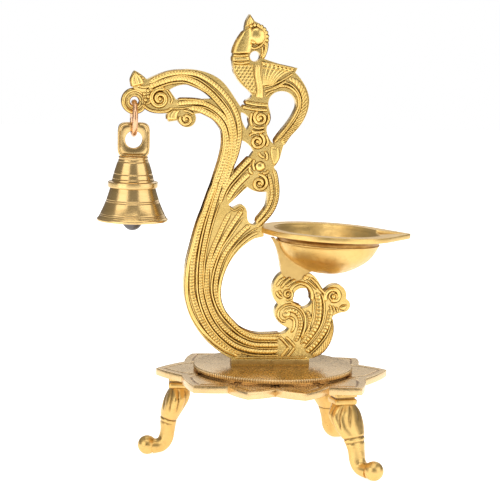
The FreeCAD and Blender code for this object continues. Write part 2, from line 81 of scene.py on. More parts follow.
print("axis %.4f %.4f, disc top %.4f" % (AXIS_X, AXIS_Y, DISC_TOP))

# %% [markdown]
# ## Camera
#
# A lamp like this is shown a little from the left and from just above the plate, with a long lens so
# that its uprights stay upright.  The camera stands 1.3 m away with a 144 mm lens and leans 1.4 degrees.

# %% Camera
HEADING, PITCH, ROLL = math.radians(8.255), math.radians(7.585), math.radians(1.4)
LENS = 144.0
CAMERA_FROM_AXIS = (-0.2034, -1.2840, 0.3107)


def camera_axes():
    """Right, up and backward directions: a heading from +Y, a pitch down, then a roll about the view."""
    ahead = np.array([math.sin(HEADING) * math.cos(PITCH), math.cos(HEADING) * math.cos(PITCH),
                      -math.sin(PITCH)])
    right = np.array([math.cos(HEADING), -math.sin(HEADING), 0.0])
    up = np.cross(right, ahead)
    leaned_right = right * math.cos(ROLL) + up * math.sin(ROLL)
    leaned_up = up * math.cos(ROLL) - right * math.sin(ROLL)
    return leaned_right, leaned_up, -ahead


camera_data = bpy.data.cameras.new("camera")
camera_data.lens = LENS
camera_data.sensor_width = 36.0
camera = bpy.data.objects.new("camera", camera_data)
bpy.context.scene.collection.objects.link(camera)
turn = np.eye(4)
turn[:3, 0], turn[:3, 1], turn[:3, 2] = camera_axes()
turn[:3, 3] = (AXIS_X + CAMERA_FROM_AXIS[0], AXIS_Y + CAMERA_FROM_AXIS[1], CAMERA_FROM_AXIS[2])
camera.matrix_world = Matrix(turn.tolist())
bpy.context.scene.camera = camera
print("camera at", [round(float(v), 3) for v in turn[:3, 3]])

# %% [markdown]
# ## Light
#
# Polished metal shows the room, not itself.  A product table gives brass its look with a few big soft
# boxes and some darkness between them: each box becomes a pale streak, each gap a brown one.  The sky
# is therefore a soft grey that darkens towards the horizon, and it is plain white only where the
# camera looks straight at it.

# %% Floor, sky and soft boxes
scene = bpy.context.scene
scene.view_settings.view_transform = "Standard"
WARM_WHITE = (1.0, 0.98, 0.95)
AIM_HEIGHT = 0.15      # the soft boxes look at the middle of the lamp, metres up


def soft_box(name, side, lift, away, size, power):
    """A rectangular light facing the lamp: side is its direction in degrees to the right of the camera's,
    lift its height as an angle, away its distance in metres."""
    data = bpy.data.lights.new(name, "AREA")
    data.shape = "RECTANGLE"
    data.size, data.size_y = size
    data.energy = power
    data.color = WARM_WHITE
    lamp = bpy.data.objects.new(name, data)
    scene.collection.objects.link(lamp)
    turn = math.radians(side) - HEADING
    lift = math.radians(lift)
    level = away * math.cos(lift)
    lamp.location = (AXIS_X + level * math.sin(turn), AXIS_Y - level * math.cos(turn),
                     AIM_HEIGHT + away * math.sin(lift))
    lamp.rotation_euler = (math.pi / 2 - lift, 0.0, turn)
    return lamp


soft_box("left_box", -48, 17, 1.5, (1.2, 1.2), 7.0)
soft_box("right_box", 60, 19, 1.5, (1.5, 1.2), 8.0)
soft_box("high_front_box", -8, 58, 1.5, (1.0, 0.5), 3.5)
soft_box("top_box", 180, 82, 1.3, (1.1, 0.9), 4.0)
soft_box("back_box", 172, 24, 1.5, (1.4, 0.8), 3.0)


def make_sky():
    """Sky: brightness rises with the direction's height; white where the camera sees it directly."""
    world = bpy.data.worlds.new("studio")
    scene.world = world
    world.use_nodes = True
    tree = world.node_tree
    tree.nodes.clear()
    make = tree.nodes.new
    out = make("ShaderNodeOutputWorld")
    coords = make("ShaderNodeTexCoord")
    split = make("ShaderNodeSeparateXYZ")
    ramp = make("ShaderNodeValToRGB")
    ramp.color_ramp.elements[0].position = 0.30
    ramp.color_ramp.elements[0].color = (0.20, 0.17, 0.14, 1)
    ramp.color_ramp.elements[1].position = 0.85
    ramp.color_ramp.elements[1].color = (0.95, 0.94, 0.92, 1)
    shift = make("ShaderNodeMath")
    shift.operation = "MULTIPLY_ADD"
    shift.inputs[1].default_value = 0.5
    shift.inputs[2].default_value = 0.5
    room = make("ShaderNodeBackground")
    room.inputs["Strength"].default_value = 0.45
    white = make("ShaderNodeBackground")
    white.inputs["Color"].default_value = (1, 1, 1, 1)
    white.inputs["Strength"].default_value = 1.0
    path = make("ShaderNodeLightPath")
    mix = make("ShaderNodeMixShader")
    link = tree.links.new
    link(coords.outputs["Generated"], split.inputs[0])
    link(split.outputs["Z"], shift.inputs[0])
    link(shift.outputs[0], ramp.inputs[0])
    link(ramp.outputs[0], room.inputs["Color"])
    link(path.outputs["Is Camera Ray"], mix.inputs[0])
    link(room.outputs[0], mix.inputs[1])
    link(white.outputs[0], mix.inputs[2])
    link(mix.outputs[0], out.inputs[0])


def make_floor():
    """A wide off-white table top that glows a little, so that it stays pale all over."""
    mesh = bpy.data.meshes.new("floor")
    side = 3.0
    mesh.from_pydata([(-side, -side, 0), (side, -side, 0), (side, side, 0), (-side, side, 0)], [],
                     [(0, 1, 2, 3)])
    floor = bpy.data.objects.new("floor", mesh)
    scene.collection.objects.link(floor)
    material = bpy.data.materials.new("pale_table")
    material.use_nodes = True
    shader = material.node_tree.nodes["Principled BSDF"]
    shader.inputs["Base Color"].default_value = (0.93, 0.93, 0.92, 1)
    shader.inputs["Roughness"].default_value = 0.6
    shader.inputs["Emission Color"].default_value = (1, 1, 1, 1)
    shader.inputs["Emission Strength"].default_value = 0.8
    mesh.materials.append(material)


make_sky()
make_floor()

# %% [markdown]
# ## Brass
#
# Cast brass is never one colour.  Where hands and polishing cloths reach, it is pale gold; in the
# recesses it keeps a brown skin, here deepened by painted shade, and over the flats drift faint clouds
# of tarnish.  One function builds all the finishes of the lamp from the same nodes:
#
# - two noises at different scales mix a bright and a duller metal colour,
# - a "rise" number stored on the ornament, 0 in a groove and 1 on a ridge, and the mesh's own
#   pointiness pull the hollows towards a dark brown, partly the brown of old polish, partly painted shade,
# - a fine noise breaks up the roughness, and another lifts the surface by a few hundredths of a
#   millimetre, as filing and sand casting do.

# %% Metal finishes
CLOUD_SHARE, SPECK_SHARE = 0.5, 0.14     # how far clouds and specks of tarnish change the colour
BUMP_DEEP = 0.0004


def metal(name, bright, dull, hollow, rough, clouds=60.0, grain=900.0, bump=0.15, hollow_share=0.9,
          streak=(1.0, 1.0, 1.0)):
    """A worn metal in linear colours; clouds and grain are noise scales per metre, stretched by streak, and
    hollow_share is how far a groove turns to the hollow colour, which paints old polish and shade there."""
    material = bpy.data.materials.new(name)
    material.use_nodes = True
    tree = material.node_tree
    shader = tree.nodes["Principled BSDF"]
    shader.inputs["Metallic"].default_value = 1.0
    make, link = tree.nodes.new, tree.links.new
    coords = make("ShaderNodeTexCoord")
    stretch = make("ShaderNodeMapping")
    stretch.inputs["Scale"].default_value = streak
    link(coords.outputs["Object"], stretch.inputs["Vector"])

    def noise(scale, detail, roughness):
        node = make("ShaderNodeTexNoise")
        node.inputs["Scale"].default_value = scale
        node.inputs["Detail"].default_value = detail
        node.inputs["Roughness"].default_value = roughness
        link(stretch.outputs[0], node.inputs["Vector"])
        return node.outputs["Fac"]

    def ramp(value, low, high, a, b):
        node = make("ShaderNodeMapRange")
        node.inputs["From Min"].default_value = low
        node.inputs["From Max"].default_value = high
        node.inputs["To Min"].default_value = a
        node.inputs["To Max"].default_value = b
        link(value, node.inputs["Value"])
        return node.outputs["Result"]

    def mix(factor, a, b):
        node = make("ShaderNodeMix")
        node.data_type = "RGBA"
        link(factor, node.inputs["Factor"])
        for socket, colour in ((node.inputs["A"], a), (node.inputs["B"], b)):
            if isinstance(colour, tuple):
                socket.default_value = (*colour, 1.0)
            else:
                link(colour, socket)
        return node.outputs["Result"]

    def times(a, b):
        node = make("ShaderNodeMath")
        node.operation = "MULTIPLY"
        node.use_clamp = True
        link(a, node.inputs[0])
        link(b, node.inputs[1])
        return node.outputs[0]

    cloud = ramp(noise(clouds, 5.0, 0.62), 0.42, 0.62, 0.0, CLOUD_SHARE)
    skin = mix(cloud, bright, dull)
    speck = ramp(noise(clouds * 9.0, 3.0, 0.6), 0.56, 0.72, 0.0, SPECK_SHARE)
    skin = mix(speck, skin, hollow)
    # Painted shade and old polish: where the stored rise is low (grooves, flanks, outlines) and where the
    # mesh is concave (low pointiness), the colour is mixed towards the hollow colour.
    rise = make("ShaderNodeAttribute")
    rise.attribute_name = "rise"
    groove_patina_and_shade = ramp(rise.outputs["Fac"], 0.0, 0.75, hollow_share, 0.0)
    uneven = ramp(noise(clouds * 4.0, 4.0, 0.7), 0.30, 0.60, 0.55, 1.0)
    skin = mix(times(groove_patina_and_shade, uneven), skin, hollow)
    edge = make("ShaderNodeNewGeometry")
    crease_patina_and_shade = ramp(edge.outputs["Pointiness"], 0.40, 0.495, 0.75, 0.0)
    skin = mix(times(crease_patina_and_shade, uneven), skin, hollow)
    link(skin, shader.inputs["Base Color"])
    link(ramp(noise(grain * 0.35, 4.0, 0.6), 0.3, 0.75, rough * 0.75, rough * 1.4),
         shader.inputs["Roughness"])
    lift = make("ShaderNodeBump")
    lift.inputs["Strength"].default_value = bump
    lift.inputs["Distance"].default_value = BUMP_DEEP
    link(noise(grain, 3.0, 0.55), lift.inputs["Height"])
    link(lift.outputs[0], shader.inputs["Normal"])
    return material


# BROWN is the colour of the hollows: old polish and painted shade.
GOLD, OLD_GOLD, BROWN = (0.90, 0.65, 0.23), (0.74, 0.49, 0.13), (0.15, 0.06, 0.01)
finishes = {
    "polished_brass": metal("buffed_brass", (0.74, 0.53, 0.27), (0.62, 0.41, 0.18), (0.26, 0.12, 0.03),
                            0.25,
                            clouds=35.0, bump=0.06, grain=700.0),
    "cast_brass": metal("filed_brass", (0.74, 0.50, 0.18), (0.56, 0.34, 0.10), (0.17, 0.07, 0.015),
                        0.34, bump=0.10),
    "relief_brass": metal("chased_brass", GOLD, OLD_GOLD, BROWN, 0.27, clouds=90.0, bump=0.12,
                          grain=1500.0),
    "satin_brass": metal("satin_brass", (0.76, 0.52, 0.19), (0.67, 0.43, 0.13), (0.26, 0.11, 0.02), 0.36,
                         clouds=30.0, bump=0.10),
    "copper_brass": metal("copper_wire", (0.80, 0.50, 0.30), (0.62, 0.33, 0.16), (0.25, 0.10, 0.05), 0.28),
    "bell_bronze": metal("bell_bronze", (0.72, 0.50, 0.22), (0.58, 0.37, 0.13), (0.20, 0.10, 0.03), 0.21,
                         clouds=45.0, bump=0.04, grain=1400.0, streak=(1.0, 1.0, 6.0)),
    "steel": metal("plain_steel", (0.55, 0.54, 0.52), (0.40, 0.38, 0.36), (0.16, 0.13, 0.11), 0.33,
                   hollow_share=0.0),
    "iron": metal("dark_iron", (0.16, 0.15, 0.15), (0.09, 0.08, 0.08), (0.05, 0.035, 0.03), 0.42, bump=0.5,
                  hollow_share=0.0),
}
for part in frame["record"]["subparts"]:
    node = frame["nodes"][part["node"]]
    node.data.materials.clear()
    node.data.materials.append(finishes[part["material_slot"]])
print("finishes:", len(finishes))

# %% [markdown]
# ## Tools for making skins
#
# Every new piece is a grid of points: rows run along the shape, columns go round or across it.  A grid
# whose columns close on themselves is a tube; rows that shrink to a point close its ends.  The helper
# below joins several grids into one mesh in one go, merges the points that fell together at the ends,
# and turns the faces outwards.  Each point also carries its "rise", which the finish above turns into
# old polish and painted shade where it is low.

# %% Grids to meshes
def circle(count):
    """One row of evenly spaced angles round a full turn, in radians."""
    return np.linspace(0, 2 * math.pi, count, endpoint=False)[None, :]


def joined(x, y, z):
    """Three coordinates, stretched to one another's shape, as one array of points."""
    return np.stack(np.broadcast_arrays(x, y, z), -1)


def squares(rows, cols, closed_cols, closed_rows=False):
    """Corner numbers of the squares between the points of a grid, worked out as whole arrays."""
    i = np.arange(rows if closed_rows else rows - 1)[:, None]
    j = np.arange(cols if closed_cols else cols - 1)[None, :]
    i2, j2 = (i + 1) % rows, (j + 1) % cols
    return np.stack([i * cols + j, i * cols + j2, i2 * cols + j2, i2 * cols + j], -1).reshape(-1, 4)


def build(name, grids, body, slot, sharp=None, fuse=2e-6):
    """One piece from grids of (points, rise, columns closed, rows closed); points are in metres."""
    points, faces, rises, start = [], [], [], 0
    for xyz, rise, closed_cols, closed_rows in grids:
        rows, cols = xyz.shape[:2]
        points.append(xyz.reshape(-1, 3))
        rises.append(np.broadcast_to(rise, (rows, cols)).reshape(-1))
        faces.append(squares(rows, cols, closed_cols, closed_rows) + start)
        start += rows * cols
    points, faces, rises = np.concatenate(points), np.concatenate(faces), np.concatenate(rises)
    mesh = bpy.data.meshes.new(name)
    mesh.vertices.add(len(points))
    mesh.vertices.foreach_set("co", points.astype(np.float32).ravel())
    mesh.loops.add(faces.size)
    mesh.loops.foreach_set("vertex_index", faces.astype(np.int32).ravel())
    mesh.polygons.add(len(faces))
    mesh.polygons.foreach_set("loop_start", np.arange(0, faces.size, 4, dtype=np.int32))
    mesh.update(calc_edges=True)
    mesh.attributes.new("rise", "FLOAT", "POINT").data.foreach_set("value", rises.astype(np.float32))
    shell = bmesh.new()
    shell.from_mesh(mesh)
    bmesh.ops.remove_doubles(shell, verts=shell.verts, dist=fuse)
    bmesh.ops.dissolve_degenerate(shell, edges=shell.edges, dist=1e-7)
    bmesh.ops.recalc_face_normals(shell, faces=shell.faces)
    shell.to_mesh(mesh)
    shell.free()
    mesh.polygons.foreach_set("use_smooth", np.ones(len(mesh.polygons), bool))
    if sharp is not None:
        mesh.set_sharp_from_angle(angle=math.radians(sharp))
    mesh.materials.append(finishes[slot])
    piece = bpy.data.objects.new(name, mesh)
    scene.collection.objects.link(piece)
    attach(piece, body)
    print("%-18s %6d faces" % (name, len(mesh.polygons)))
    return piece


print("mesh tools ready")

# %% [markdown]
# ## Curves
#
# An outline is given by the few points that it needs.  A smooth curve runs through them, and it is then
# cut to evenly spaced points, so that a bead or a groove along it keeps its pitch round the bends.

# %% Curves through points
POINT_GAP = 0.45       # spacing along a curve, mm


def lengths(line):
    """How far along a line each of its points lies, from 0 at the first."""
    return np.concatenate([[0.0], np.cumsum(np.linalg.norm(np.diff(line, axis=0), axis=1))])


def resample(line, count):
    """A line cut to a set number of evenly spaced points."""
    along = lengths(line)
    even = np.linspace(0, along[-1], count)
    return np.stack([np.interp(even, along, line[:, i]) for i in range(2)], -1)


def route(points, step=POINT_GAP):
    """A smooth curve through the points: cubic pieces with slopes by central differences on chord length,
    then resampled at even steps. Rows of the result are the points along the curve."""
    p = np.asarray(points, float)
    t = lengths(p)
    slope = np.gradient(p, t, axis=0)
    u = np.linspace(0, t[-1], max(int(t[-1] / step) * 4, 8))
    k = np.clip(np.searchsorted(t, u, side="right") - 1, 0, len(t) - 2)
    span = (t[k + 1] - t[k])[:, None]
    s = ((u - t[k]) / (t[k + 1] - t[k]))[:, None]
    q = ((2 * s**3 - 3 * s**2 + 1) * p[k] + (s**3 - 2 * s**2 + s) * span * slope[k]
         + (3 * s**2 - 2 * s**3) * p[k + 1] + (s**3 - s**2) * span * slope[k + 1])
    return resample(q, max(int(lengths(q)[-1] / step) + 1, 4))


print("a test curve has", len(route([(0, 0), (5, 2), (10, 0)])), "points")

# %% [markdown]
# ## The chaser's alphabet
#
# A scroll casting like this is a vocabulary of a few strokes, repeated: the beaded rib, the plain
# border, the spiral, the leaf and the boss.  Each stroke below is a formula.  A rib is a half-round
# section carried along a route; beads are its height multiplied by the size of a sine.  A leaf
# is a sheet stretched between two routes and arched across.  All of them run a little below the face
# of the casting, so they grow out of it with no gap, and each is cut on the front and on the back.

# %% Ribs
EDGE_LIFT = 0.04       # a stroke's foot stands this far off the face, mm
SUNK = 0.5             # its skirt runs this deep into the casting, mm
LINE_WIDE = 0.42       # the chased line beside a rib, mm
POINTS_PER_BEAD = 5.5


def ease(x):
    """0 below 0, 1 above 1, and smooth between."""
    x = np.clip(x, 0, 1)
    return x * x * (3 - 2 * x)


def on_faces(x, height, rise, half=PANEL_HALF):
    """The same relief on the front and on the back of the casting, as two sets of points in space."""
    return [space(x, height, half + rise), space(x, height, -half - rise)]


def capped(sides):
    """The grids with their first and last rows drawn together to a point, which closes the ends."""
    for grid in sides:
        grid[0] = grid[0].mean(0)
        grid[-1] = grid[-1].mean(0)
    return sides


def outlined(rise, tone, sunk=SUNK):
    """Rise and tone with the outline added on both sides: a step at the face, painted dark as shade with
    tone 0, then down into it.
    """
    zero = np.zeros((len(rise), 1))
    rise = np.concatenate([zero - sunk, zero + EDGE_LIFT, rise, zero + EDGE_LIFT, zero - sunk], 1)
    return rise, np.concatenate([zero, zero, tone, zero, zero], 1)


def rib(points, width, tall=0.9, bead=0.0, taper=(1.5, 1.5), skew=0.0, shift=0.0, half=PANEL_HALF,
        sunk=SUNK):
    """A rib along a route: x = route + side * width * cos(a), rise = tall * sin(a), a from 0 to 180.
    With a bead pitch the rise is multiplied by 0.3 + 0.7 * |sin(pi * length / pitch)|**0.8; skew slants the
    beads. Width and rise shrink to nothing over the taper lengths at the two ends, and shift moves the
    whole rib to the left of its route."""
    line = route(points, min(POINT_GAP, bead / POINTS_PER_BEAD if bead else POINT_GAP))
    ahead = np.gradient(line, axis=0)
    ahead /= np.linalg.norm(ahead, axis=1)[:, None]
    side = np.stack([-ahead[:, 1], ahead[:, 0]], -1)
    line = line + side * shift
    along = lengths(line)[:, None]
    shrink = ease(along / max(taper[0], 0.01)) * ease((along[-1] - along) / max(taper[1], 0.01))
    a = np.linspace(0, math.pi, 9)[None, :]
    across, up = np.cos(a), np.sin(a)
    wave = 1.0
    if bead:
        wave = 0.30 + 0.70 * np.abs(np.sin(math.pi * (along + skew * width * across) / bead)) ** 0.8
    reach = width * across * np.sqrt(shrink)
    rise = tall * up * wave * shrink + EDGE_LIFT
    # Painted shade and old polish: the tone follows the rib's height, so its flanks and the dips between
    # beads turn darker.
    tone = np.clip(up * wave, 0, 1) + 0 * rise
    gap = LINE_WIDE * np.sqrt(shrink)
    first, last = reach[:, :1], reach[:, -1:]
    reach = np.concatenate([first + gap, first + gap * 0.9, reach, last - gap * 0.9, last - gap], 1)
    rise, tone = outlined(rise, tone, sunk)
    sides = capped(on_faces(line[:, :1] + side[:, :1] * reach, line[:, 1:] + side[:, 1:] * reach, rise,
                            half))
    return [(grid, tone, True, False) for grid in sides]


print("a plain rib is", rib([(0, 0), (10, 0)], 1.0)[0][0].shape[:2], "points on each face")

# %% [markdown]
# A leaf is stretched between two routes, its left and its right edge.  Ridges cut across it and grooves
# along it, and both ends sink back into the face.

# %% Leaves
LEAF_MARGIN = 0.35     # the chased line beside a leaf, mm


def sheet(left, right, steps, wide):
    """Points that run straight across from the left route (t = -1) to the right one (t = 1). Gives the gap
    between the routes, t, and x and z as arrays of steps rows and wide columns."""
    a, b = resample(route(left), steps), resample(route(right), steps)
    t = np.linspace(-1, 1, wide)[None, :]
    blend = (t + 1) / 2
    x = a[:, :1] * (1 - blend) + b[:, :1] * blend
    z = a[:, 1:] * (1 - blend) + b[:, 1:] * blend
    return b - a, t, x, z


def leaf(left, right, tall=0.9, crown=0.6, ridges=0, slant=0.0, ridge_depth=0.5, grooves=0, vein=0.0,
         fade=0.12, steps=40, wide=17):
    """A leaf on a sheet: rise = tall * (1 - |t|**2.5)**crown, cut by ridges across it, by grooves along it
    and by a vein down the middle, and fading at both ends."""
    gap, t, x, z = sheet(left, right, steps, wide)
    s = np.linspace(0, 1, steps)[:, None]
    body = (1 - np.abs(t) ** 2.5) ** crown
    ends = ease(s / fade) * ease((1 - s) / fade)
    cut = np.ones_like(s * t)
    if ridges:
        ridge = np.abs(np.sin(math.pi * (s * ridges + slant * t))) ** 0.8
        cut = cut * (1 - ridge_depth + ridge_depth * ridge)
    if grooves:
        groove = np.abs(np.cos(math.pi * ((t + 1) / 2) * grooves)) ** 0.8
        cut = cut * (1 - ridge_depth + ridge_depth * groove)
    cut = cut * (1 - vein * np.exp(-(t / 0.12) ** 2))
    # Painted shade and old polish: the tone follows the leaf's height, so its edges, ridge dips and grooves
    # turn darker, and its outline is painted dark.
    rise, tone = outlined(tall * body * ends * cut + EDGE_LIFT, np.clip(body * cut, 0, 1))
    margin = LEAF_MARGIN * gap / np.maximum(np.linalg.norm(gap, axis=1), 1e-6)[:, None]
    x = np.concatenate([x[:, :1] - margin[:, :1]] * 2 + [x] + [x[:, -1:] + margin[:, :1]] * 2, 1)
    z = np.concatenate([z[:, :1] - margin[:, 1:]] * 2 + [z] + [z[:, -1:] + margin[:, 1:]] * 2, 1)
    return [(grid, tone, True, False) for grid in capped(on_faces(x, z, rise))]


print("leaf ready")

# %% [markdown]
# A boss is a small dome.  A volute is a rib along a spiral, with a boss as its eye.

# %% Bosses and volutes
BOSS_SUNK = 0.6        # a boss runs this deep into the casting, mm


def boss(centre, radius, tall, squash=1.0, lean=0.0, rows=9, cols=28, power=0.5):
    """A boss: rise = tall * (1 - r*r)**power over a disc, squashed and then turned by lean degrees."""
    out = 1 + LEAF_MARGIN / radius
    r = np.concatenate([[0.0], np.sin(np.linspace(0.12, 1, rows) * math.pi / 2), [out, out, 0.0]])[:, None]
    a = circle(cols)
    u, v = radius * r * np.cos(a), radius * squash * r * np.sin(a)
    c, s = math.cos(math.radians(lean)), math.sin(math.radians(lean))
    x, z = centre[0] + u * c - v * s, centre[1] + u * s + v * c
    rise = tall * np.clip(1 - r * r, 0, 1) ** power + EDGE_LIFT
    rise[-2:] = -BOSS_SUNK
    rise = rise * np.ones_like(a)
    # Painted shade and old polish: the tone follows the boss's height, darker towards its foot and in the
    # sunk rim.
    tone = np.clip(rise / max(tall, 1e-6), 0, 1)
    return [(grid, tone, True, False) for grid in on_faces(x, z, rise)]


def spiral(centre, outer, inner, turns, start, hand=1, width=0.9, tall=1.0, eye=0.0):
    """A volute: a rib along radius = outer + (inner - outer) * share ** 0.8, turning from the start angle;
    hand is +1 anticlockwise; eye is the radius of the boss at its middle."""
    share = np.linspace(0, 1, int(26 * turns) + 4)
    radius = outer + (inner - outer) * share ** 0.8
    angle = math.radians(start) + hand * share * turns * 2 * math.pi
    points = np.stack([centre[0] + radius * np.cos(angle), centre[1] + radius * np.sin(angle)], -1)
    grids = rib(points, width, tall, taper=(1.2, 0.8))
    if eye:
        grids += boss(centre, eye, tall * 1.15)
    return grids


print("a volute is made of", len(spiral((0, 0), 4, 1, 1.5, 0, eye=1.0)), "grids")

# %% [markdown]
# ## The tail
#
# The bird's tail sweeps from the arm at the top left, down and round the big curve, to the tie at the
# foot.  It is a sheaf of beaded ribs that lie side by side, parted by thin plain cords, with a plain
# border along both edges.  Each rib is one route; its beads are cross bars about two millimetres
# apart, smaller where the rib is narrow.

# %% Tail ribs
tail = []
tail += rib([(-47, 165.2), (-41.3, 161.2), (-37.6, 155), (-36.6, 147), (-38.2, 136.5), (-41.2, 126),
             (-46.8, 108), (-51.6, 95.5), (-56, 79), (-58.4, 68), (-59.3, 56), (-58.8, 45.5),
             (-55.4, 34.5), (-49.3, 24.5), (-41.5, 16), (-32.5, 9.5), (-24, 5.6)], 1.1, 0.8, taper=(4, 3),
             shift=0.5)
tail += rib([(-60, 168.6), (-54.5, 168.3), (-48, 165.8), (-41.5, 162), (-36.6, 155.5), (-34.6, 147),
             (-35.6, 138), (-38.6, 127.5), (-43, 116.5), (-46.8, 105.5), (-50.4, 93.5), (-53.3, 81),
             (-55, 70), (-55.5, 59.5), (-55, 49), (-52, 38.5), (-46.5, 27.5), (-39, 18), (-30, 11),
             (-20.5, 6.8)], 1.75, 0.95, 2.0, (3, 10))
tail += rib([(-68, 171.2), (-59, 172.2), (-50.5, 171.8), (-44, 169), (-38, 164.3), (-33.8, 158.5),
             (-31.8, 151), (-32.2, 142), (-34.5, 131.5), (-37.8, 120.5), (-41.5, 108), (-44.8, 95),
             (-47.6, 81), (-49.2, 69.5), (-49.6, 58.5), (-49.2, 49), (-46.5, 38.5), (-41.6, 28.5),
             (-34.5, 20), (-25.5, 13.3), (-16, 10.2), (-6, 9.3), (2.5, 9.6)], 1.45, 0.95, 1.8, (3, 2))
tail += rib([(-39.5, 122), (-43.5, 108), (-47.3, 95), (-50.3, 81), (-51.9, 68.5), (-52.3, 58.5),
             (-51.7, 49), (-49.2, 38.5), (-44.3, 28), (-36.5, 18.3), (-26.5, 10.6), (-16, 7.3), (-6, 6.7),
             (3.5, 6.8)], 0.62, 1.05, taper=(6, 2))
tail += rib([(-30.6, 102.4), (-33.6, 97), (-37.6, 88), (-42, 77.5), (-44.6, 68.5), (-45.6, 58), (-45, 48),
             (-42.6, 39.5), (-38, 31), (-31.4, 23.6), (-23, 17.6), (-15, 14.3), (-6, 13.6), (3, 13.6)],
            1.5, 0.95, 1.9, (5, 2))
tail += rib([(-37.4, 110), (-40.8, 100), (-43.8, 89), (-46.4, 76), (-47.6, 64), (-47.4, 52), (-44.8, 41),
             (-40, 30.6), (-33.2, 21.6), (-24, 15.2), (-14, 12), (-4, 11.4), (3, 11.5)], 0.5, 0.95,
             taper=(6, 2))
tail += rib([(-23.6, 102.6), (-26, 99), (-30.2, 92.5), (-34.7, 84.8), (-39, 76), (-42, 68.5),
             (-43.4, 60.5)], 1.5, 0.95, 2.0, (1.5, 8))
tail += rib([(-22.4, 98.2), (-25.4, 94.2), (-30.9, 86), (-36.2, 77.6), (-39.6, 68.5), (-41.9, 59),
             (-42.3, 49.5), (-40.2, 41.3), (-36, 33.3), (-29.8, 26.3), (-22.5, 20.2), (-14.5, 16.8),
             (-6, 16.1), (3, 16.1)], 0.6, 1.0, taper=(4, 2))
tail += rib([(-17.4, 93.4), (-20.6, 91), (-25, 86.6), (-30, 80.6), (-34.4, 74), (-37.5, 66.5),
             (-39.4, 58), (-39.7, 49.5), (-38, 42.3), (-34.1, 35.3), (-28.2, 28.3), (-21.4, 22.3),
             (-14, 18.9), (-5.5, 18.2), (3, 18.2)], 1.45, 0.95, 2.0, (2.5, 2))
tail += rib([(-11, 88.6), (-16.5, 86.1), (-22, 81.8), (-27.2, 76.3), (-31.7, 69.2), (-35, 61),
             (-36.8, 51.5), (-36.2, 43.2), (-32.9, 35.4), (-27.4, 28.4), (-20.4, 23.4), (-13, 20.9),
             (-4.5, 20.6), (4.5, 21)], 0.85, 0.75, taper=(4, 2), shift=-0.5)
tail += rib([(-12.4, 91.6), (-18, 88.4), (-23.6, 83.8), (-28.9, 77.4), (-33, 69.6), (-36, 60),
             (-37.8, 52)], 0.45, 0.8, taper=(2, 4))
tail += rib([(-26, 5.3), (-12.5, 5.4), (0.5, 5.4), (22.6, 5.3)], 0.7, 0.5, taper=(2, 2))
build("tail_ribs", tail, "stand", "relief_brass")


def foot_strip():
    """The bright foot: a bar whose section is |y/a|**8 + |z/b|**8 = 1, filed smooth, ending square."""
    a = circle(48)
    end = (np.abs(np.cos(a)) ** 8 + np.abs(np.sin(a)) ** 8) ** (-1 / 8)
    x = np.array([-28.05, -28.05, -27.8, -20, -10, 0, 10, 18, 23.3, 23.55, 23.55])[:, None]
    size = np.array([0, 0.93, 1, 1, 1, 1, 1, 1, 1, 0.93, 0])[:, None]
    # Painted shade: the tone is 0.85 on top and falls to 0.65 underneath, darkening the underside of the
    # bar.
    dull = 0.75 + 0.1 * np.sin(a) + 0 * x
    return [(space(x + 0 * a, 2.3 + 2.28 * size * end * np.sin(a), 4.66 * size * end * np.cos(a)), dull,
             True, False)]


build("foot_strip", foot_strip(), "stand", "cast_brass", sharp=40)

# %% [markdown]
# ## The arm
#
# Two ribs leave the tail and arch over to the left to carry the bell: the upper one springs high, the
# lower one runs level under the window.  They end in one bold spiral, a flame-shaped leaf and the round
# lug.  Under the spiral hangs a small leaf and a curled lobe.

# %% Arm and its volute
arm = []
arm += rib([(-86.3, 181.4), (-78.8, 184.6), (-71, 187), (-63, 187.6), (-55.3, 185), (-47.3, 179.6),
            (-39.9, 172.2), (-33.6, 164), (-30.4, 154), (-29.6, 144.5), (-30.8, 134.5), (-33.6, 125),
            (-36.6, 117)], 1.7, 0.95, 1.9, (3, 4))
arm += rib([(-86, 184.8), (-80, 188.2), (-72.4, 190.9), (-63.5, 191.9), (-54.6, 190.9), (-46, 186.6),
            (-37.6, 179.6), (-30.6, 170.6), (-26.6, 160.8), (-25.8, 150.5), (-27.4, 140.5), (-31, 130)],
            1.5, 0.9, 2.0, (3, 4), skew=0.5, shift=-0.6)
arm += rib([(-83, 182.3), (-77.3, 185.4), (-71, 188.3), (-63, 189.4), (-54.8, 187.6), (-46.8, 182.6),
            (-39.2, 175.4), (-32.9, 167), (-29.2, 157), (-28.2, 147)], 0.45, 0.75, taper=(3, 4))
arm += rib([(-84.2, 179.3), (-77.5, 182.3), (-70, 184.5), (-63, 184.9), (-55.5, 182.6), (-48, 178.6),
            (-41, 171.9), (-35.1, 164.3), (-32.1, 155), (-31.2, 144.5), (-32.6, 134), (-35.8, 123)], 0.65,
            1.1, taper=(3, 4))
arm += rib([(-72.5, 167.8), (-64, 168.3), (-56, 169.6), (-48.5, 168.8), (-42.2, 165.2), (-36.2, 158),
            (-33.4, 148)], 0.42, 0.75, taper=(2, 4))
arm += rib([(-66.5, 174), (-57, 174), (-48.5, 173.2)], 0.55, 0.7, taper=(2, 3))
arm += spiral((-78.6, 174.3), 6.9, 1.6, 1.6, 60, hand=1, width=1.35, tall=1.5, eye=1.4)
arm += rib([(-90, 170.4), (-84.6, 166.9), (-78.6, 166), (-73.5, 166.6), (-70.2, 168.9)], 0.8, 0.9,
            taper=(2, 2))
arm += rib([(-74.6, 180.4), (-72.3, 177.6), (-70.6, 174.2), (-71.6, 170.4)], 0.6, 0.8, taper=(1.5, 2))
arm += leaf([(-96.4, 181.2), (-97.2, 186.5), (-94.9, 191.3)], [(-88.6, 183.6), (-90.6, 187.6),
             (-94.6, 191.2)], 1.1, vein=0.5, steps=26)
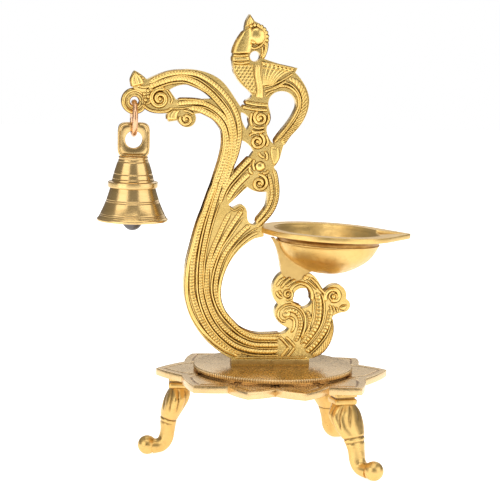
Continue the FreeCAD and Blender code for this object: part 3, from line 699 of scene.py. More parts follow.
arm += boss((-89.6, 187.4), 0.75, 0.9, cols=14, rows=5) + boss((-91.6, 189.0), 0.6, 0.8, cols=14, rows=5)
for flower_x, flower_z in ((-88.6, 177.2), (-86.2, 179.3), (-86.0, 175.6), (-87.8, 173.4)):
    arm += boss((flower_x, flower_z), 1.15, 0.95, cols=16, rows=6)
arm += rib([(-93.5, 182.4), (-89, 181.6), (-84.6, 182.4)], 0.8, 0.9, taper=(1.5, 1.5))
arm += rib([(-88, 170.6), (-84.8, 172.2), (-85.2, 175)], 0.6, 0.8, taper=(1, 1))
arm += leaf([(-73.4, 160.6), (-73.2, 164.4), (-70.5, 167.2)], [(-67.2, 161), (-67.0, 164), (-65.4, 167)],
            0.95, vein=0.4, steps=22)
arm += spiral((-61.2, 161.4), 4.4, 1.2, 1.3, 150, hand=1, width=0.95, tall=1.05, eye=1.0)
arm += rib([(-56.4, 164.6), (-59.6, 166.4), (-63.4, 167)], 0.7, 0.8, taper=(1, 1.5))
build("arm_ornament", arm, "stand", "relief_brass")


def lug_rim():
    """Rolled edge of the lug: a low round bead round its rim and a finer one round its hole."""
    turns = np.linspace(0, 2 * math.pi, 97)
    rims = []
    for radius, width, tall in ((7.1, 0.95, 0.45), (3.9, 0.65, 0.35)):
        ring = np.stack([-94.6 + radius * np.cos(turns), 172.4 + radius * np.sin(turns)], -1)
        rims += rib(ring, width, tall, taper=(0, 0), half=2.5, sunk=0.3)
    return rims


build("lug_rims", lug_rim(), "stand", "relief_brass")

# %% [markdown]
# ## The right-hand cluster
#
# At the foot the tail is bound by a tie of two chevrons, and past it the ribs open like a fan.  The
# innermost curls back into a round, the next ones climb to the volute on the right, and the outermost
# is a lobe cut with slanting lines.  A second round, worked with leaf strokes, carries the cup's stem.

# %% Tie, fan and rounds
fan = []
for shift, tall in ((0.0, 1.3), (4.0, 1.2)):
    fan += rib([(3.3 + shift, 19.2), (6.8 + shift, 15.8), (9.6 + shift, 12.6)], 0.9, tall, taper=(1, 0.4))
    fan += rib([(9.6 + shift, 12.2), (7.2 + shift, 8.8), (4.6 + shift, 5.6)], 0.9, tall, taper=(0.4, 1))
fan += rib([(13.8, 15.8), (16, 21.5), (17.3, 28.5), (15.8, 33.6), (12, 36.6), (7.8, 36.6), (5.4, 34.2)],
           1.45, 0.95, 2.1, (1.5, 3))
fan += rib([(17.6, 18), (20, 25.5), (19.8, 33), (15.8, 38.6), (10, 40.7), (5, 39.3), (2.2, 36.2),
            (2.2, 32.4), (4.6, 29.8), (7.8, 29.6)], 0.75, 1.1, taper=(2, 2))
fan += rib([(10.8, 21.5), (12.9, 27), (12, 31), (8.8, 32.2), (6.6, 30.8)], 0.8, 1.0, taper=(2, 1))
fan += boss((7.6, 34.2), 2.6, 0.7, squash=0.8, lean=20)
fan += rib([(17.4, 14), (21.2, 20.5), (23, 27), (22.8, 33), (20.6, 37.2)], 1.0, 0.85, 1.7, (1.5, 2))
fan += rib([(19.4, 14.8), (24.7, 21.5), (28.4, 29), (29.2, 37), (28.8, 43.5), (26.8, 49.2)], 2.0, 1.15,
            2.5, (1.5, 3))
fan += rib([(17.6, 17.2), (22.3, 25), (24.9, 33.5), (25.1, 42.5), (23.9, 49.2)], 0.5, 1.05, taper=(2, 2))
fan += rib([(19.6, 11.2), (25.2, 17.8), (30.3, 25.6), (32.5, 33.5), (32.4, 41.5), (30.4, 48.6)], 0.6,
            1.15, taper=(2, 2))
fan += rib([(21.2, 8.8), (27.2, 14.6), (32.2, 21.6), (35.4, 28.4), (36.6, 34.4), (37.4, 38.2)], 1.75, 1.1,
            2.5, (1.5, 2))
fan += rib([(23.6, 7.4), (30.3, 14.2), (35.4, 22), (37.6, 29)], 0.5, 1.1, taper=(1.5, 2))
fan += leaf([(24.4, 6.9), (30.6, 13), (35.3, 19.8), (37.6, 26.4), (38, 31)], [(26, 5.2), (32, 8.2),
             (37.3, 15.6), (39.2, 23.6), (38.4, 31)], 1.0, crown=0.3, ridges=15, slant=1.2,
             ridge_depth=0.9, steps=140, wide=15)
fan += spiral((38.6, 46.2), 6.2, 2.6, 0.95, 215, hand=-1, width=1.35, tall=0.95)
fan += spiral((38.6, 46.0), 3.2, 1.9, 1.0, 90, hand=1, width=0.6, tall=1.0, eye=1.45)
fan += leaf([(42.4, 38.6), (44.9, 40.6), (47.8, 40.4)], [(42.8, 37.4), (45.8, 36.9), (47.9, 39.6)], 0.9,
             steps=20)
for step_out in range(3):
    x, z = 35.6 + 2.2 * step_out, 40.6 - 0.7 * step_out
    fan += rib([(x, z), (x + 1.4, z - 1.9), (x + 1.2, z - 4)], 0.6, 0.9, taper=(0.8, 1))
fan += rib([(9.3, 48.6), (11.3, 52.6), (16.4, 54.9), (21.2, 53), (24.1, 48.4), (24.6, 42.8)], 1.05, 0.85,
            taper=(2, 2))
fan += rib([(9.6, 42.6), (13.8, 40.2), (17.6, 39)], 0.7, 0.85, taper=(1.5, 1.5))
fan += spiral((8.0, 47.6), 4.0, 1.3, 1.2, 250, hand=1, width=0.8, tall=1.0, eye=1.0)
for stroke in ([(6.4, 58.8), (2.9, 56.4), (0.4, 52.6)], [(9.8, 58.6), (6.2, 55.6), (3.2, 51.4)],
               [(13.2, 57.2), (9.4, 54.9), (6.6, 52.4)], [(0.3, 49.6), (1.8, 46.6), (4.6, 44.6)],
               [(1.9, 50.4), (3.2, 48), (4.4, 47)]):
    fan += rib(stroke, 0.85, 0.9, taper=(1.2, 1.2))
fan += rib([(22.6, 58.6), (27.0, 54.6), (30.2, 50.4), (33.4, 47.6)], 0.8, 0.95, taper=(1.2, 1.5))
fan += rib([(20.6, 57), (24.6, 53.6), (27.6, 50.6)], 0.6, 0.9, taper=(1.2, 1.2))
fan += leaf([(17.8, 58.2), (19.4, 59.9), (20.6, 60)], [(18.6, 56.4), (21, 57.6), (22.6, 59.4)], 0.8,
             ridges=3, steps=24)
build("fan_ornament", fan, "stand", "relief_brass")

# %% [markdown]
# ## The column and the tail loop
#
# Between the tail and the bird stands a short column of three spirals, one above the other, with leaf
# strokes between them and a moulded step on top for the bird's feet.  To its right a loop of two
# strips swings out behind the bird: a plain double cord inside and a feathered edge outside.

# %% Column, loop and stems
column = []
for spot, outer, turn_from, hand in (((-13.0, 162.8), 4.7, 110, 1), ((-14.6, 147.6), 5.2, 80, -1),
                                     ((-12.6, 120.4), 5.9, 100, -1)):
    column += spiral(spot, outer, 1.5, 1.45, turn_from, hand, width=1.05, tall=1.3, eye=1.3)
column += rib([(-23.4, 173), (-16, 171.7), (-8, 171.2)], 1.1, 1.0, taper=(1, 1))
column += rib([(-25, 169.9), (-18.3, 168.7), (-8.4, 168)], 1.0, 1.1, taper=(1, 1))
for stroke in ([(-18.6, 166.6), (-19.4, 161.5), (-18.4, 157.6)], [(-8, 166), (-7.4, 163), (-9.2, 158)],
               [(-18, 157.2), (-14.4, 156.2), (-10, 157)], [(-19, 154.6), (-14.6, 153.6), (-9.6, 154.6)],
               [(-20, 151), (-18.4, 152.6), (-14.8, 153)], [(-9.2, 151.8), (-7.8, 148), (-8.6, 144.2)],
               [(-16.4, 136.4), (-17, 132.4), (-15.8, 128.4)], [(-14, 141), (-12.2, 138.4), (-9.6, 137)],
               [(-9.6, 141.6), (-8, 138.4), (-8.8, 135)], [(-19, 131.8), (-19.2, 128.6), (-17, 126.2)],
               [(-11, 127.4), (-8.6, 127), (-6.6, 129.2)]):
    column += rib(stroke, 0.85, 1.1, taper=(1, 1))
column += boss((-12.4, 131.4), 3.2, 1.7)
column += leaf([(-5.6, 144.4), (-5.6, 139), (-4, 133.2)], [(-0.6, 144.6), (0, 137.4), (-2.8, 132)], 0.9,
                crown=0.45, steps=30)
column += rib([(-18.2, 137), (-22.4, 132.6), (-27.8, 126.6), (-33.2, 120), (-36.6, 113.4), (-38.6, 106)],
              1.55, 0.95, 1.9, (1.5, 5))
column += rib([(-18, 133.2), (-22.4, 128.8), (-27.4, 123.2), (-31.6, 118), (-35, 111.4)], 0.55, 0.95,
               taper=(1, 4))
column += rib([(-19.4, 126.8), (-23.6, 122.8), (-28.2, 117.6), (-31.6, 112.6), (-33.4, 108.6)], 1.7, 0.85,
               2.0, (1.5, 4))
column += rib([(-21.4, 119.4), (-25.2, 115.4), (-29.2, 110.6)], 0.6, 0.8, taper=(1, 2))
column += rib([(-3.3, 130.2), (-1.5, 125.5), (-0.6, 119), (-0.3, 112), (-1.9, 105.5), (-5, 100),
               (-9.8, 95), (-13, 91.2)], 1.15, 0.9, 1.7, (2, 3), skew=0.6, shift=-0.5)
column += rib([(-6.8, 127), (-4.6, 119), (-4.2, 112), (-6.2, 105.4), (-10.6, 98.9), (-14.2, 94.6)], 1.1,
               0.85, 1.8, (2, 3))
column += rib([(-31.6, 104.6), (-28.6, 102.6), (-24.6, 104.4), (-22.4, 102.6)], 0.5, 0.8, taper=(1, 1))
build("column_ornament", column, "stand", "relief_brass")

loop = []
loop += leaf([(2.6, 188.4), (8.2, 185.4), (12.2, 180.7), (13.9, 175), (13.2, 168.4), (9.7, 160.8),
              (4.7, 154), (0.4, 147.8)], [(6.8, 189.6), (12, 187), (15.8, 182.2), (17.8, 175.5),
              (17, 167.6), (13.4, 159.6), (8.0, 153), (3, 145.6)], 1.0, crown=0.4, ridges=21, slant=1.15,
              ridge_depth=0.9, steps=210, wide=15, fade=0.05)
loop += rib([(-5.4, 181.4), (-1.6, 183.4), (3, 183.8), (7.6, 181.8), (11.0, 177.6), (12, 172.4),
             (9.8, 165.8), (5.2, 158.4), (0, 151.8), (-3.4, 146.8)], 0.75, 0.95, taper=(2, 2))
loop += rib([(0.6, 186.6), (6, 185), (10.3, 181.2), (12.9, 175.4), (12.6, 169), (9.5, 162.4),
             (4.6, 155.8), (-0.6, 149.4)], 0.55, 0.95, taper=(2, 2))
build("tail_loop", loop, "stand", "relief_brass")

# %% [markdown]
# ## The bird
#
# The bird stands on the column's step: a smooth neck with a double collar, a breast of small overlapping
# scales, a wing that points to the right and a face tucked down, with a curled beak and a notched comb.
# The scales are one sheet: its height at a point is the highest of the round discs that lie over it,
# each row shifted by half a scale.

# %% Neck, breast, wing and head
SCALE_TALL = 0.95


def scales(left, right, pitch, steps=90, wide=60):
    """A sheet of fish scales in rows and columns of size pitch; at each point the height is the larger of
    1 - distance / reach to the nearest scale of its own row and of the row above, under a root."""
    t, x, z = sheet(left, right, steps, wide)[1:]
    height = np.zeros_like(x)
    for lift in (0, 1):
        row = np.floor(z / (pitch * 0.8)) + lift
        offset = np.where(row % 2 == 0, 0.0, 0.5)
        middle = (np.floor(x / pitch - offset) + 0.5 + offset) * pitch
        far = np.hypot((x - middle) / (pitch * 0.56), (z - row * pitch * 0.8) / (pitch * 0.95))
        height = np.maximum(height, np.sqrt(np.clip(1 - far, 0, 1)) * (1 - 0.35 * lift))
    s = np.linspace(0, 1, steps)[:, None]
    edge = ease((1 - np.abs(t)) / 0.10) * ease(s / 0.05) * ease((1 - s) / 0.05)
    rise = (0.25 + 0.75 * height) * edge * SCALE_TALL
    deep = np.concatenate([rise - 0.02, np.full((steps, 2), -SUNK)], 1)
    x = np.concatenate([x, x[:, -1:], x[:, :1]], 1)
    z = np.concatenate([z, z[:, -1:], z[:, :1]], 1)
    # Painted shade and old polish: the tone follows each scale's height, darker where scales overlap, and
    # the sunk edges are painted dark.
    tone = np.concatenate([height, np.zeros((steps, 2))], 1)
    return [(grid, tone, True, False) for grid in capped(on_faces(x, z, deep))]


bird = []
bird += leaf([(-25.6, 218.4), (-29.6, 211.6), (-31.5, 206.5), (-31.9, 203.9)], [(-20.4, 222),
              (-19.2, 216), (-19.4, 209.6), (-20.8, 204)], 1.7, crown=0.6, fade=0.06, steps=40)
bird += rib([(-31.8, 203), (-27, 202.8), (-21.6, 203.4)], 0.75, 1.1, taper=(0.6, 0.8))
bird += leaf([(-31.8, 202.4), (-32, 200.6), (-31.8, 199)], [(-21.4, 202.6), (-21.2, 201), (-21, 200)],
              1.0, crown=0.4, steps=14, fade=0.2)
bird += rib([(-31.8, 198.4), (-26.5, 197.8), (-20.6, 199)], 0.75, 1.1, taper=(0.6, 0.8))
bird += scales([(-31.6, 197.4), (-30.8, 192), (-27.2, 187.2), (-23, 182.8), (-20, 179.2)],
               [(-18.8, 197.6), (-18.2, 193), (-17.4, 187.5), (-16.4, 181.5), (-16, 178)], 2.5)
bird += leaf([(-17.6, 197), (-17.4, 190.5), (-16, 183.5), (-16.4, 176)], [(-13.8, 197.6), (-13.4, 190.6),
              (-12, 184), (-11.4, 175.6)], 1.0, crown=0.5, grooves=3, ridge_depth=0.4, steps=44)
bird += leaf([(-13, 198.2), (-13.2, 191), (-12.6, 183.6)], [(9, 194.2), (1.4, 190.6), (-5, 184.4)], 0.9,
              crown=0.3, grooves=7, ridge_depth=0.45, steps=44, wide=49, fade=0.05)
for k in range(8):
    share = k / 7
    bird += boss((-11.6 + 18.4 * share, 197.9 - 3.6 * share), 1.25 - 0.3 * share, 1.15, cols=14, rows=5)
bird += rib([(-13, 195.4), (-4, 194.2), (5.6, 193)], 0.45, 1.15, taper=(1, 1.5))
bird += boss((-16.4, 215.6), 5.6, 2.2, power=0.6, cols=40, rows=12)
bird += rib([(-21.4, 209.6), (-18.8, 207.6), (-15.2, 208.6), (-12.2, 211.6), (-10.9, 215.4), (-12.4, 219.6),
             (-16.2, 222)], 0.7, 1.0, taper=(1, 1.5))
bird += boss((-19.1, 211.6), 2.0, 2.1, squash=0.62, lean=-18, cols=24)
bird += rib([(-21.2, 212.4), (-19.6, 213.2), (-17.4, 211.8), (-16.9, 210.6)], 0.38, 1.9, taper=(0.6, 0.6))
bird += rib([(-21.3, 212), (-20.4, 210.2), (-18.4, 209.8), (-16.9, 210.6)], 0.38, 1.9, taper=(0.6, 0.6))
for k in range(9):
    angle = math.radians(112 - 17.5 * k)
    bird += boss((-17.6 + 7.6 * math.cos(angle), 214.6 + 8.0 * math.sin(angle)), 1.15, 1.0, cols=14, rows=5)
bird += leaf([(-24.2, 220.8), (-23.2, 225.2), (-21.4, 228.6)], [(-18.4, 224.2), (-19.4, 226),
              (-21.1, 228.6)], 1.1, vein=0.5, steps=24)
bird += rib([(-10.2, 212), (-10.4, 208), (-11.6, 203.8), (-12.8, 201)], 1.0, 1.2, taper=(1, 2))
bird += rib([(-13.2, 209.4), (-12.6, 206), (-13.4, 202.4)], 0.6, 0.9, taper=(1, 1))
bird += rib([(-13.4, 198.8), (-4, 197.4), (8.6, 195)], 0.55, 0.7, taper=(1, 1))
bird += rib([(-11.4, 182.8), (-6, 184.2), (1, 187.8), (7.6, 192)], 0.55, 0.85, taper=(1, 1))
bird += rib([(-10.8, 180), (-6.4, 181.4), (-1, 184.4), (3.4, 187)], 0.7, 0.8, taper=(1, 1))
bird += rib([(-10, 176.6), (-8.2, 178.8), (-4.6, 180.6)], 0.6, 0.75, taper=(1, 1))
build("bird", bird, "stand", "relief_brass")

# %% [markdown]
# ## The lotus plate
#
# The plate is sawn from 5 mm sheet by hand, so no two of its ten petals are quite alike.  Each petal
# carries one chased line that follows its edge about five millimetres in and turns down to the disc at
# both valleys, where three short ticks mark the gap.  The outline is walked petal by petal: straight
# from tip to valley, bowed out by a parabola.  The line is a groove whose depth falls off with the
# distance from its curve.

# %% Lotus plate
PETALS = [(-97.0, -76.5), (-49.5, -35.0), (-20.5, -7.0), (7.0, 25.5), (39.0, 61.5),
          (90.5, 107.0), (123.0, 136.5), (150.0, 167.0), (184.0, 201.0), (217.5, 240.0)]
TIP_R, VALLEY_R, SWELL = 77.0, 64.0, 1.3
PLATE_TOP = 58.0       # height above the ground, mm
GROOVE_DEEP, GROOVE_WIDE, TICK_WIDE = 0.45, 0.55, 0.5


def around(angle, radius, height):
    """Polar millimetres to space: the angle is in degrees from the front, positive to the right."""
    a = np.radians(angle)
    return joined(AXIS_X + radius * np.sin(a) * MM, AXIS_Y - radius * np.cos(a) * MM, height * MM)


def petal_edge(per_side):
    """The plate's outline as angles and radii: chords from tip to valley to tip, bowed out by
    4 * swell * t * (1 - t), and each point's share of the way from its petal's tip to the valley."""
    corners = np.array([c for tip, valley in PETALS for c in ((tip, TIP_R), (valley, VALLEY_R))])
    a = np.radians(corners[:, 0])
    p = np.stack([corners[:, 1] * np.sin(a), -corners[:, 1] * np.cos(a)], -1)
    q = np.roll(p, -1, 0)
    out = (p + q) / np.linalg.norm(p + q, axis=1)[:, None]
    t = (np.arange(per_side) / per_side)[None, :, None]
    line = (p[:, None] * (1 - t) + q[:, None] * t + out[:, None] * SWELL * 4 * t * (1 - t)).reshape(-1, 2)
    share = np.where(np.arange(len(corners))[:, None] % 2 == 0, t[:, :, 0], 1 - t[:, :, 0]).reshape(-1)
    angle = np.degrees(np.arctan2(line[:, 0], -line[:, 1]))
    return angle, np.hypot(line[:, 0], line[:, 1]), share


def lotus_plate():
    """Top, edge and underside as one grid of rings, each the outline scaled by a share, and the groove."""
    angle, edge, share = petal_edge(34)
    fine = np.linspace(0.64, 0.985, 74)
    line_r = 71.4 - 14.0 * share - 9.0 * np.clip((share - 0.72) / 0.2, 0, 2) ** 2
    slope = np.gradient(line_r) / np.maximum(np.abs(np.gradient(np.unwrap(np.radians(angle)))) * edge, 0.2)
    radius = fine[:, None] * edge
    distance = (radius - line_r) / np.sqrt(1 + slope ** 2)
    cut = np.exp(-(distance / GROOVE_WIDE) ** 2)
    valleys = np.array([valley for _, valley in PETALS])
    for shift, end in ((-2.4, 58.2), (0.0, 60.0), (2.4, 58.2)):
        off = (angle[None, :, None] - valleys - shift + 180) % 360 - 180
        near = np.abs(off).min(-1)
        tick = np.exp(-(np.radians(near) * radius / TICK_WIDE) ** 2) * ease((end - radius) / 1.5)
        cut = np.maximum(cut, tick)
    flat = np.full((3, 1), PLATE_TOP) + 0 * edge
    top = np.concatenate([flat, PLATE_TOP - GROOVE_DEEP * cut])
    outer = [0.992, 0.998, 1.0, 1.0, 0.998, 0.992, 0.985, 0.6, 0.3, 0.0]
    shares = np.concatenate([[0.0, 0.3, 0.63], fine, outer])
    falls = np.array([0.06, 0.2, 0.45, 4.55, 4.8, 4.94, 5.0, 5.0, 5.0, 5.0])[:, None]
    lower = PLATE_TOP - falls + 0 * edge
    height = np.concatenate([top, lower])
    # Painted shade and old polish: the chased line and the ticks are darkened along their grooves.
    dark = np.concatenate([0 * flat, cut, 0 * lower])
    grid = around(angle[None, :], shares[:, None] * edge, height)
    return [(grid, 0.85 - 1.3 * dark, True, False)]


plate = build("lotus_petals", lotus_plate(), "stand", "polished_brass", sharp=32)
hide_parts("lotus_plate")

# %% [markdown]
# ## The seat disc
#
# A turned disc with a smaller foot, so a dark line shows under its rim.  Its edge was rolled against a
# milling tool: 190 small notches, a third of a millimetre deep.

# %% Seat disc
def softened(points, radius):
    """A profile with each inner corner replaced by three points, cut back by the radius on both sides."""
    p = np.asarray(points, float)
    back, on = p[:-2] - p[1:-1], p[2:] - p[1:-1]
    back_long = np.linalg.norm(back, axis=1, keepdims=True)
    on_long = np.linalg.norm(on, axis=1, keepdims=True)
    a = p[1:-1] + back / back_long * np.minimum(radius, 0.4 * back_long)
    b = p[1:-1] + on / on_long * np.minimum(radius, 0.4 * on_long)
    middle = 0.25 * a + 0.5 * p[1:-1] + 0.25 * b
    return np.concatenate([p[:1], np.stack([a, middle, b], 1).reshape(-1, 2), p[-1:]])


NOTCHES, NOTCH_DEEP = 190, 0.35


def seat_disc():
    """Profile turned round the axis; at the rim the radius dips by 0.35 * |cos(95 a)|**3 mm."""
    profile = softened([(0, 58), (50, 58), (50, 59.2), (52.4, 59.2), (52.5, 61.4), (52.1, 61.8),
                        (0, 61.8)], 0.25)
    a = circle(8 * NOTCHES)
    radius, height = profile[:, :1], profile[:, 1:]
    rim = (radius > 51.9) & (radius <= 52.5)
    notch = np.abs(np.cos(NOTCHES / 2 * a)) ** 3
    grid = around(np.degrees(a), radius - rim * NOTCH_DEEP * notch, height)
    # Painted shade and old polish: each milled notch is darkened towards its bottom.
    return [(grid, 0.9 - 0.6 * rim * notch, True, False)]


disc = build("turned_disc", seat_disc(), "stand", "polished_brass", sharp=40)
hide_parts("seat_disc")

# %% [markdown]
# ## The legs
#
# Each leg is one small casting: a square moulded block, a broad knee carved with leaf grooves that
# twist as they run down, two lines at the ankle, a slim shin and a knob foot.  The body is a stack of
# ovals that lean outwards; between the given ovals a smooth cubic fills in the rest.  The grooves are a
# wave in "angle round the leg plus a share of the height", and it fades out below the knee.

# %% Legs
# a leg's direction, its block's distance out, its knob's reach, its shin's bow outwards, its block's turn
LEGS = {"leg_left": (-97.0, 61.0, 21.0, -0.6, 0.0), "leg_right": (39.0, 61.0, 27.5, 4.4, -28.0),
        "leg_back": (133.5, 56.0, 26.0, 1.0, 0.0)}
LEG_TALL, BLOCK_TALL, BLOCK_SIDE = 53.0, 7.0, 15.0
KNOB_R, KNOB_LIFT = 6.3, 6.0


def stacked(rows, steps):
    """Rows with steps - 1 more between each two, on a Catmull-Rom cubic through them all."""
    r = np.asarray(rows, float)
    r = np.concatenate([r[:1], r, r[-1:]])
    p, q, n, m = r[:-3, None], r[1:-2, None], r[2:-1, None], r[3:, None]
    t = (np.arange(steps) / steps)[None, :, None]
    bend, swing = 2 * p - 5 * q + 4 * n - m, 3 * q - p - 3 * n + m
    mid = 0.5 * (2 * q + (n - p) * t + bend * t ** 2 + swing * t ** 3)
    return np.concatenate([mid.reshape(-1, r.shape[1]), r[-1:]])


def leg_space(place, out, side, height):
    """A leg's own millimetres (out along its reach, side across it, height) to space; place is its
    direction and how far out its block stands."""
    a = math.radians(place[0])
    x = (place[1] + out) * math.sin(a) + side * math.cos(a)
    y = -(place[1] + out) * math.cos(a) + side * math.sin(a)
    return np.stack([AXIS_X + x * MM, AXIS_Y + y * MM, np.maximum(height, 0) * MM + 0 * x], -1)


def leg_grids(angle, top_r, reach, bow, block_turn, twist):
    """Body, knob and block of a leg; the knee's radius falls by up to 13 percent in grooves that twist with
    height and stop on a slant, and by 8.5 percent at the ankle's two lines."""
    place = (angle, top_r)
    h = LEG_TALL - BLOCK_TALL
    ovals = stacked([(0.0, h, 6.4, 7.6, 0), (1.4 + bow * 0.1, h * 0.86, 8.2, 12.4, -4),
                     (4.6 + bow * 0.3, h * 0.70, 7.4, 11.6, -8), (7.4 + bow * 0.65, h * 0.53, 5.8, 8.4, -6),
                     (8.2 + bow, h * 0.36, 4.9, 6.2, 4), (9.6 + bow, h * 0.22, 4.9, 5.6, -28),
                     (4.8 + bow * 0.5 + reach * 0.37, h * 0.135, 4.8, 5.2, -60),
                     (reach * 0.86, 5.4, 5.2, 5.4, -80)], 16)
    out, high, half_out, half_side, lean = [ovals[:, i:i + 1] for i in range(5)]
    t = circle(120)
    share = high / h
    knee = ease((share - 0.68 - 0.07 * twist * np.sin(t)) / 0.12) * ease((1.0 - share) / 0.05)
    wave = np.abs(np.sin(4.5 * t + twist * (1 - share) * 9.0)) ** 0.45
    groove = knee * (1 - wave)
    lines = np.exp(-((share - 0.535 - 0.02 * np.cos(t)) / 0.012) ** 2)
    second = 0.8 * np.exp(-((share - 0.475 - 0.02 * np.cos(t)) / 0.012) ** 2) * ease(np.cos(t) + 0.9)
    lines = np.maximum(lines, second)
    shrink = 1 - 0.13 * groove - 0.085 * lines
    u, v = half_out * np.cos(t) * shrink, half_side * np.sin(t) * shrink
    tilt = np.radians(lean)
    body = leg_space(place, out + u * np.cos(tilt), v, high - u * np.sin(tilt))
    body[0], body[-1] = body[0].mean(0), body[-1].mean(0)
    # Painted shade and old polish: the knee's grooves and the ankle's two lines are darkened.
    grids = [(body, 0.85 - 0.85 * np.maximum(groove, lines), True, False)]
    b = np.linspace(-math.pi / 2, math.pi / 2, 25)[:, None]
    s = t[:, ::2]
    knob = leg_space(place, reach + KNOB_R * np.cos(b) * np.cos(s), KNOB_R * np.cos(b) * np.sin(s),
                     KNOB_LIFT + KNOB_R * np.sin(b))
    grids.append((knob, 0.8, True, False))
    steps = np.array([(0, h - 0.6), (0.86, h - 0.6), (0.97, h - 0.1), (1, h + 0.5), (1, h + 2.5),
                      (0.94, h + 3.1),
                      (0.84, h + 3.3), (0.83, h + 4.1), (0.9, h + 4.3), (1, h + 4.7), (1, h + 6.6),
                      (0.98, LEG_TALL),
                      (0, LEG_TALL)])
    size, level = steps[:, :1] * BLOCK_SIDE / 2, steps[:, 1:]
    square = (np.abs(np.cos(t)) ** 9 + np.abs(np.sin(t)) ** 9) ** (-1 / 9)
    turned_t = t + math.radians(block_turn)
    block = leg_space(place, size * square * np.cos(turned_t), size * square * np.sin(turned_t),
                      level + 0 * t)
    # Painted shade: the block's recessed cove is darkened to tone 0.1, with the brown of old polish.
    hollow = np.where((steps[:, :1] < 0.92) & (steps[:, :1] > 0.5), 0.1, 0.8)
    grids.append((block, hollow, True, False))
    return grids


for node, sizes in LEGS.items():
    carved = build(node + "_carved", leg_grids(*sizes, twist=1 if sizes[0] > 0 else -1), "stand",
                   "cast_brass", sharp=50)
    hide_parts(node)

# %% [markdown]
# ## The oil cup
#
# The cup is turned first, with a bowl, a recessed neck and a wide flat flange, and its flange is then
# drawn out to a spout with a shallow trough for the wick.  Seen from above, the spout is two straight
# tangents from the round: at the angle a from the spout's line the edge lies at R / cos(reach - |a|),
# where cos(reach) = R / tip.  The same formula with smaller numbers gives the trough.

# %% Oil cup
CUP_RIM, CUP_OPEN = 45.0, 36.0
CUP_TIP, CUP_LIP, CUP_TILT = 55.8, 3.4, math.radians(2.2)
CUP_BACK = (-10.2, 91.5)
BLUNT = 1.3            # rounding of the spout's tip, mm


def spouted(radius, tip, a):
    """Edge radius at the angle a: radius / cos(reach - |a|) inside the spout's reach, the plain radius
    outside; the last bit of the tip is rounded off by a smooth minimum."""
    reach = math.acos(radius / tip)
    turned_in = np.where(np.abs(a) < reach, reach - np.abs(a), 0)
    edge = radius / np.cos(turned_in)
    limit = tip - BLUNT * 0.35
    over = np.clip((edge - limit + BLUNT) / (2 * BLUNT), 0, 1)
    return edge - BLUNT * over ** 2


def oil_cup():
    """Rows of (radius, height) from the bottom outside, over the rim, to the bottom inside; the rim's rows
    take the spout's radius, and the opening's rows the trough's."""
    a = np.linspace(-math.pi, math.pi, 360, endpoint=False)
    rim, trough = spouted(CUP_RIM, CUP_TIP, a), spouted(CUP_OPEN * 0.80, CUP_TIP - 4.5, a)
    opening = np.maximum(CUP_OPEN, trough)
    extra = opening - CUP_OPEN
    bowl = route([(0, -28.3), (8.8, -28.0), (21.8, -22.6), (28.4, -17.5), (31.8, -12.6), (33.6, -8.7)], 1.0)
    rows = [(bowl[i, 0] + 0 * a, bowl[i, 1] + 0 * a, 0.8) for i in range(len(bowl))]
    # Painted shade: the recessed neck under the flange is darkened to tone 0, easing off along the flange's
    # underside.
    for r, z, tone in ((34.1, -8.3, 0.9), (34.1, -7.9, 0.8), (33.6, -7.6, 0.0), (33.8, -6.6, 0.0),
                       (34.8, -5.4, 0.0),
                       (36.8, -4.4, 0.1), (39.2, -3.75, 0.3)):
        rows.append((r + 0 * a, z + 0 * a, tone))
    for inset, z in ((2.0, -CUP_LIP), (0.45, -CUP_LIP), (0.1, -3.1), (0.0, -2.6), (0.0, -0.8),
                     (0.15, -0.25), (0.55, 0.0)):
        rows.append((rim - inset, z + 0 * a, 0.8))
    for share in (0.25, 0.5, 0.75):
        rows.append(((rim - 0.55) * (1 - share) + (opening + 0.5) * share, 0 * a, 0.85))
    rows.append((opening + 0.5, 0 * a, 0.8))
    rows.append((opening + 0.1, -0.15 + 0 * a, 0.8))
    floor = -0.9 - 0.97 * ease(extra / 3.0)
    # Painted shade: the trough's floor is darkened (tones 0.5 to 0.75).
    rows.append((opening - 0.15, np.minimum(-0.6, floor * 0.9), 0.5))
    rows.append((CUP_OPEN + extra * 0.5 - 0.3, floor, 0.6))
    rows.append((CUP_OPEN - 0.5 + 0 * a, floor - 0.25, 0.75))
    inside = route([(35.0, -2.4), (33.2, -4.8), (31.4, -7.8), (26.4, -15.3), (20.1, -20.4),
                    (8.2, -25.8), (0, -26.1)], 1.2)
    # Painted shade: the inside of the bowl is darkened (tone 0.6).
    rows += [(inside[i, 0] + 0 * a, inside[i, 1] + 0 * a, 0.6) for i in range(len(inside))]
    radius = np.array([row[0] for row in rows])
    height = np.array([row[1] for row in rows])
    tone = np.array([row[2] for row in rows])[:, None]
    x, y = radius * np.cos(a), radius * np.sin(a)
    level_x = x * math.cos(CUP_TILT) + height * math.sin(CUP_TILT)
    level_z = height * math.cos(CUP_TILT) - x * math.sin(CUP_TILT)
    middle_x = CUP_BACK[0] + CUP_RIM * math.cos(CUP_TILT)
    middle_z = CUP_BACK[1] - CUP_RIM * math.sin(CUP_TILT)
    return [(space(level_x + middle_x, level_z + middle_z, -y), tone, True, False)]


cup = build("spouted_cup", oil_cup(), "stand", "satin_brass", sharp=42)
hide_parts("oil_cup")

# %% [markdown]
# ## Ring, bell and clapper
#
# The bell is turned from bronze and polished on the lathe, which leaves fine lines round it: a double
# one half way down the skirt, another over the moulded lip, and single ones above the collar.  A line is
# chased along the edge of its flat loop.
# The ring is a bent wire with its ends butted at the back, and the clapper is a rough iron ball.

# %% Bell
low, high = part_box("bell_body")
BELL_X, MOUTH = (low.x + high.x) / 2, low.z / MM
LOOP_RISE = (high.z - low.z) / MM - 11.0     # the loop's hole above the mouth, mm
LINE_DEEP = 0.24       # depth and half width of a turned line, mm


